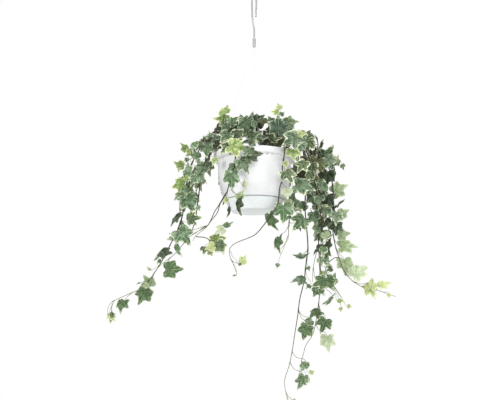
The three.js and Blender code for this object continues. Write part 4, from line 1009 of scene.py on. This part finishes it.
def stalk(stem):
    # a side stem starts inside the one it springs from, thinner and greener than it
    points = spacedPoints(stem.joint + stem.points, stemSizes["step"])
    along = np.linspace(0, 1, len(points))
    thick, youth = stemSizes["mainStem" if stem.root else "sideStem"]
    radius = stemSizes["radius"]
    radii = np.interp(along, [0, 0.5, 1], [radius * thick, radius * min(1, thick), stemSizes["tipRadius"]])
    for leaf in stem.kept:
        off = distance(points, leaf.node) / stemSizes["nodeLength"]
        radii = radii * (1 + stemSizes["nodeSwell"] * np.exp(-off ** 2))
    green = np.clip((along - stemSizes["greenFrom"]) / stemSizes["greenOver"], 0, 1) ** 1.5
    part = tube(points, radii, stemSizes["sides"], youth + (1 - youth) * green)
    part.material = 1
    return part


def backPlant(bearing, reach, drop, seed):
    # it leaves the soil 46 mm out, crosses the rim, and falls in steps of 36 mm
    draw = drawsFor(seed)
    turn, sway = math.radians(bearing), 0.16 * (draw() - 0.5)

    def at(radius, z, swing=0):
        return np.array([radius * math.cos(turn + swing), radius * math.sin(turn + swing), z])
    start, edge = 46, rimRadius + 4
    way = [at(start + 8, 2), at(start + 20, 13), at(edge + 2, 10), at(edge + reach * 0.5, -14)]
    for fall in range(50, drop + 1, 36):
        way.append(at(edge + reach * (0.7 + draw() * 0.3), -fall, sway))
    return dict(root=tuple(at(start, 0)[:2]), way=way, seed=seed)


def growStems():
    rows = dict(plants)
    for name, *rest in backStems:
        rows[name] = [backPlant(*rest)]
    grown = {}
    for name, stems in rows.items():
        first = None
        grown[name] = []
        for row in stems:
            joint = []
            points = row.get("way") or [seenAt(x, z, y) for x, z, y in row["route"]]
            if "root" in row:
                x, y = row["root"]
                points = [np.array([x, y, soilTop - stemSizes["rootDepth"]]),
                          np.array([x, y, soilTop + soilCrown + 4])] + points
            else:
                fork = seenAt(*stems[0]["route"][row["springs"]])
                points = [min(first.nodes, key=lambda p: distance(p, fork))] + points
                joint = [min(spacedPoints(first.points, 2), key=lambda p: distance(p, points[0]))]
                if distance(joint[0], points[0]) < 0.8:
                    joint = []
            rings = spacedPoints(points, stemSizes["internode"])
            stem = SimpleNamespace(points=points, nodes=(rings[1:] + rings[:-1]) / 2, root="root" in row,
                                   joint=joint, leaves=row.get("leaves"), seed=row.get("seed"))
            first = first or stem
            grown[name].append(stem)
    return grown


def onwardAt(stem, node):
    at = int(np.argmin(distance(stem.nodes, node)))
    return unit(stem.nodes[min(at + 1, len(stem.nodes) - 1)] - stem.nodes[max(at - 1, 0)])


def crowdOf(clouds):
    points = np.concatenate(clouds)
    tree = KDTree(len(points))
    for i, point in enumerate(points):
        tree.insert(point, i)
    tree.balance()
    return tree


def roomBeside(crowd, points):
    return min(crowd.find(point)[2] for point in points)


# What thickets and shoots keep to: mm, degrees, and for cover a share of both leaves' sizes
growth = {
    "thicket": {"tries": 30, "cover": 0.45, "behind": 3, "fan": 150, "turn": 85, "shortest": 4, "longest": 32,
                "gap": 1.9},
    "shoot": {"tries": 12, "bow": (3, 5), "turns": 3, "gap": 1.2},
    "holder": {"below": -107, "rimGap": 2, "inside": 6, "above": 3, "clip": 16, "strapGap": 2.6},
}


def clearOfHolder(points):
    # outside the pot's wall and its rim, above the soil, and beside the hanger's straps and clips
    radius, height = np.hypot(points[:, 0], points[:, 1]), points[:, 2]
    rules = growth["holder"]
    outside = (height > rules["rimGap"]) | (height < rules["below"]) | (radius > rimRadius + rules["rimGap"])
    within = (radius < rimRadius - rules["inside"]) & (height > soilTop + soilCrown + rules["above"])
    if not np.all(outside | within):
        return False
    for degrees in hanger["strapAngles"]:
        top, bottom = strapWay(math.radians(degrees))
        for start, end in ((top, bottom), (bottom, bottom - [0, 0, rules["clip"]])):
            run = end - start
            share = np.clip((points - start) @ run / (run @ run), 0, 1)
            if distance(points, start + share[:, None] * run).min() < rules["strapGap"]:
                return False
    return True


def spreadOf(leaf):
    # points spread over a blade, to keep small leaves clear of the others
    points = [leaf.notch]
    for degrees, reach, lift, kind in leafForms[leaf.form]["keys"]:
        for angle in (math.radians(degrees), -math.radians(degrees)):
            way = math.sin(angle) * leaf.side + math.cos(angle) * leaf.tip + lift * leaf.curl * leaf.up
            points += [leaf.notch + way * leaf.length * reach * share for share in (0.35, 0.7, 1)]
    return np.array(points)


def growThickets(grown, parts):
    # small leaves where there is room, behind the large ones, each on a petiole from the nearest node
    rules = growth["thicket"]
    crowd = crowdOf([part.points for listed in parts.values() for part in listed])
    nodes = [(node, stem, name) for name, stems in grown.items() for stem in stems for node in stem.nodes[2:]]
    places = np.array([node for node, stem, name in nodes])
    large = [leaf for stems in grown.values() for stem in stems if stem.leaves for leaf in stem.kept]
    centres, widths = np.array([leaf.centre for leaf in large]), np.array([leaf.size for leaf in large])
    seen = eye + (centres - eye) * (-eye[1] / (centres[:, 1] - eye[1]))[:, None]
    crowds, added = [crowd], []
    for number, (x, z, wide, high, near, far, count, least, most, looks) in enumerate(thickets):
        draw = drawsFor(500 + number)
        left = count
        for n in range(count * rules["tries"]):
            turn, out = 2 * math.pi * draw(), math.sqrt(draw())
            across, above = wide * out * math.cos(turn), high * out * math.sin(turn)
            centre = seenAt(x + across, z + above, near + (far - near) * draw())
            size = least + (most - least) * draw()
            apart = np.hypot(seen[:, 0] - x - across, seen[:, 2] - z - above)
            covered = apart < rules["cover"] * (widths + size)
            if np.any(centre[1] < centres[covered, 1] + rules["behind"]):
                continue
            tip, face = facing(draw, 270 + rules["fan"] * (draw() - 0.5), rules["turn"] * draw())
            look = looks[int(draw() * len(looks))]
            stretch = distance(places, centre - tip * stretchBehind(size))
            nearest = int(np.argmin(stretch))
            if not rules["shortest"] < stretch[nearest] < rules["longest"]:
                continue
            node, stem, name = nodes[nearest]
            leaf = shapeLeaf(centre, tip, face, size, node, 0.7 + draw(), look, 9000 + 100 * number + n)
            points = spreadOf(leaf)
            if not clearOfHolder(points) or min(roomBeside(tree, points) for tree in crowds) < rules["gap"]:
                continue
            added.append(points)
            crowds = [crowd, crowdOf(added)]
            parts[name] += [blade(leaf, True), petioleOf(leaf, onwardAt(stem, node), 0.35)]
            left -= 1
            if not left:
                break
    return len(added)


def growShoots(grown, parts):
    # a bare shoot leaves its stem in the soil, bows away from it, and meets it again past the rim
    rules = growth["shoot"]
    crowd = crowdOf([part.points for listed in parts.values() for part in listed if "leafSpot" in vars(part)])
    for number, (name, (count, run)) in enumerate(bareShoots.items()):
        points = spacedPoints(grown[name][0].points, stemSizes["step"])
        points = points[2:max(12, min(run // stemSizes["step"], len(points) - 2))]
        along = np.linspace(0, 1, len(points))
        ahead = unit(points[-1] - points[0])
        across = unit(np.cross(ahead, [0.2, 0.3, 1]))
        other = np.cross(ahead, across)
        draw = drawsFor(800 + number)
        least, more = rules["bow"]
        for _ in range(count):
            best, room = None, rules["gap"]
            for _ in range(rules["tries"]):
                phase, bow = 2 * math.pi * draw(), least + more * draw()
                angle = phase + rules["turns"] * (draw() - 0.5) * along
                away = np.cos(angle)[:, None] * across + np.sin(angle)[:, None] * other
                way = points + away * (bow * np.sin(math.pi * along) ** 0.6)[:, None]
                clear = roomBeside(crowd, way)
                if clear > room and clearOfHolder(way[4:]):
                    best, room = way, clear
            if best is not None:
                part = tube(best, stemSizes["shoot"] * (1 - 0.3 * along), 6, 0.1)
                part.material = 1
                parts[name].append(part)


leafPattern = {
    # in mm: marbled patches, ragged stretches of the margin, specks, side veins, main veins' half width
    "patch": 7, "ragged": 4.6, "speck": 1.3, "sideVeins": 4.5, "mainVein": 0.6, "veinEnd": 0.2,
    "raggedness": 1.1, "marginStart": 1.6, "veinTint": 0.4, "underTint": "#8C9C78", "underShare": 0.5,
}
carried = [("leafSpot", 3), ("leafVeins", 3), ("leafShares", 3), ("leafGround", 3), ("leafMarble", 3),
           ("leafMargin", 3), ("youth", 1)]


def ivyLeaf():
    # Ivy leaf: living, waxed above and matt below, so it shines softly; grey and cream where it lacks green
    look = leafPattern
    material, tree, shader = newMaterial("variegated ivy leaf")
    held = {}
    for name, width in carried[:-1]:
        held[name] = addNode(tree, "Attribute", {"attribute_name": name}).outputs
    edged, marbled, under = addNode(tree, "SeparateXYZ", Vector=held["leafShares"]["Vector"]).outputs
    vein, slant, rim = addNode(tree, "SeparateXYZ", Vector=held["leafVeins"]["Vector"]).outputs
    spot = held["leafSpot"]["Vector"]

    # grey marbling in patches some 7 mm wide, with crisp borders
    patches = addNode(tree, "TexNoise", Vector=spot, Scale=1 / look["patch"], Detail=2.0, Roughness=0.45,
                      Distortion=0.6)
    level = addNode(tree, "MapRange", Value=marbled, To_Min=0.66, To_Max=0.34)
    above = addNode(tree, "Math", {"operation": "ADD"}, _0=level, _1=0.07)
    marble = addNode(tree, "MapRange", Value=patches, From_Min=level, From_Max=above)

    # a ragged pale margin, wider where the look says so
    ragged = addNode(tree, "TexNoise", Vector=spot, Scale=1 / look["ragged"], Detail=3.0)
    reach = addNode(tree, "Math", {"operation": "MULTIPLY_ADD"}, _0=ragged, _1=look["raggedness"], _2=rim)
    inner = addNode(tree, "Math", {"operation": "SUBTRACT"}, _0=look["marginStart"], _1=edged)
    outer = addNode(tree, "Math", {"operation": "ADD"}, _0=inner, _1=0.12)
    margin = addNode(tree, "MapRange", Value=reach, From_Min=inner, From_Max=outer)

    # main veins thin out to the lobes' tips, and side veins slant off the midrib
    width = addNode(tree, "MapRange", Value=rim, To_Min=look["mainVein"], To_Max=look["veinEnd"])
    main = addNode(tree, "MapRange", Value=vein, From_Max=width, To_Min=1.0, To_Max=0.0)
    turns = addNode(tree, "Math", {"operation": "MULTIPLY"}, _0=slant, _1=2 * math.pi / look["sideVeins"])
    wave = addNode(tree, "Math", {"operation": "SINE"}, _0=turns)
    side = addNode(tree, "MapRange", Value=wave, From_Min=0.9, To_Max=0.35)
    veins = addNode(tree, "Math", {"operation": "MAXIMUM"}, _0=main, _1=side)
    faint = addNode(tree, "Math", {"operation": "MULTIPLY"}, _0=veins, _1=look["veinTint"])
    dull = addNode(tree, "Math", {"operation": "MULTIPLY"}, _0=under, _1=look["underShare"])

    tone = held["leafGround"]["Color"]
    for share, over in ((marble, held["leafMarble"]["Color"]), (margin, held["leafMargin"]["Color"]),
                        (faint, held["leafMargin"]["Color"]), (dull, colour(look["underTint"]))):
        tone = addNode(tree, "Mix", {"data_type": "RGBA"}, _0=share, _6=tone, _7=over).outputs[2]
    fine = addNode(tree, "TexNoise", Vector=spot, Scale=1 / look["speck"], Detail=3.0)
    speck = addNode(tree, "MapRange", Value=fine, To_Min=0.86, To_Max=1.1)
    final = addNode(tree, "VectorMath", {"operation": "SCALE"}, _0=tone, Scale=speck)

    # duller below than above, and pressed in along the veins
    worn = addNode(tree, "Math", {"operation": "MULTIPLY_ADD"}, _0=fine, _1=0.5, _2=under)
    rough = addNode(tree, "MapRange", Value=worn, From_Max=1.5, To_Min=0.36, To_Max=0.75)
    sunk = addNode(tree, "Math", {"operation": "MULTIPLY_ADD"}, _0=veins, _1=-1.7, _2=fine)
    bump = addNode(tree, "Bump", Strength=0.35, Distance=0.0003, Height=sunk)
    setInputs(tree, shader, Base_Color=final, Roughness=rough, Normal=bump, IOR=1.42)
    return material


def ivyBark():
    # Young ivy wood: matt grey brown, greener to its tip and on the petioles, mottled every 2 to 3 mm
    material, tree, shader = newMaterial("ivy bark")
    place = addNode(tree, "TexCoord").outputs["Object"]
    youth = addNode(tree, "Attribute", {"attribute_name": "youth"}).outputs["Fac"]
    mottle = addNode(tree, "TexNoise", Vector=place, Scale=420.0, Detail=3.0)
    tones = []
    for dark, light in (("#241E1A", "#454034"), ("#6F7550", "#9AA876")):
        tones.append(addNode(tree, "Mix", {"data_type": "RGBA"}, _0=mottle, _6=colour(dark),
                             _7=colour(light)).outputs[2])
    tone = addNode(tree, "Mix", {"data_type": "RGBA"}, _0=youth, _6=tones[0], _7=tones[1])
    bump = addNode(tree, "Bump", Strength=0.4, Distance=0.0005, Height=mottle)
    setInputs(tree, shader, Base_Color=tone.outputs[2], Normal=bump, Roughness=0.6)
    return material


def makeIvy():
    grown = growStems()
    parts = {name: [] for name in grown}
    missing = 0
    for p, (name, stems) in enumerate(grown.items()):
        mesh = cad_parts[name].data
        solid = crowdOf([[vertex.co / millimetre + Vector((0, 0, hookSeat)) for vertex in mesh.vertices]])
        for s, stem in enumerate(stems):
            seed = 1000 * (p + 1) + 100 * s
            wanted = seenLeaves(stem, seed) if stem.leaves else ruledLeaves(stem, seed)
            found = [leafInFrame(tries, solid) for tries in wanted]
            stem.kept = [leaf for leaf in found if leaf]
            missing += len(found) - len(stem.kept)
            parts[name].append(stalk(stem))
            for leaf in stem.kept:
                parts[name] += [blade(leaf), petioleOf(leaf, onwardAt(stem, leaf.node))]
    print("stems and leaves grown, leaves that the frame lacks:", missing)
    print("small leaves added:", growThickets(grown, parts))
    growShoots(grown, parts)
    materials = [ivyLeaf(), ivyBark()]
    for name, listed in parts.items():
        addPiece("leafy_" + name[4:], listed, materials, [name], 50, carried)


makeIvy()
print("ivy grown")
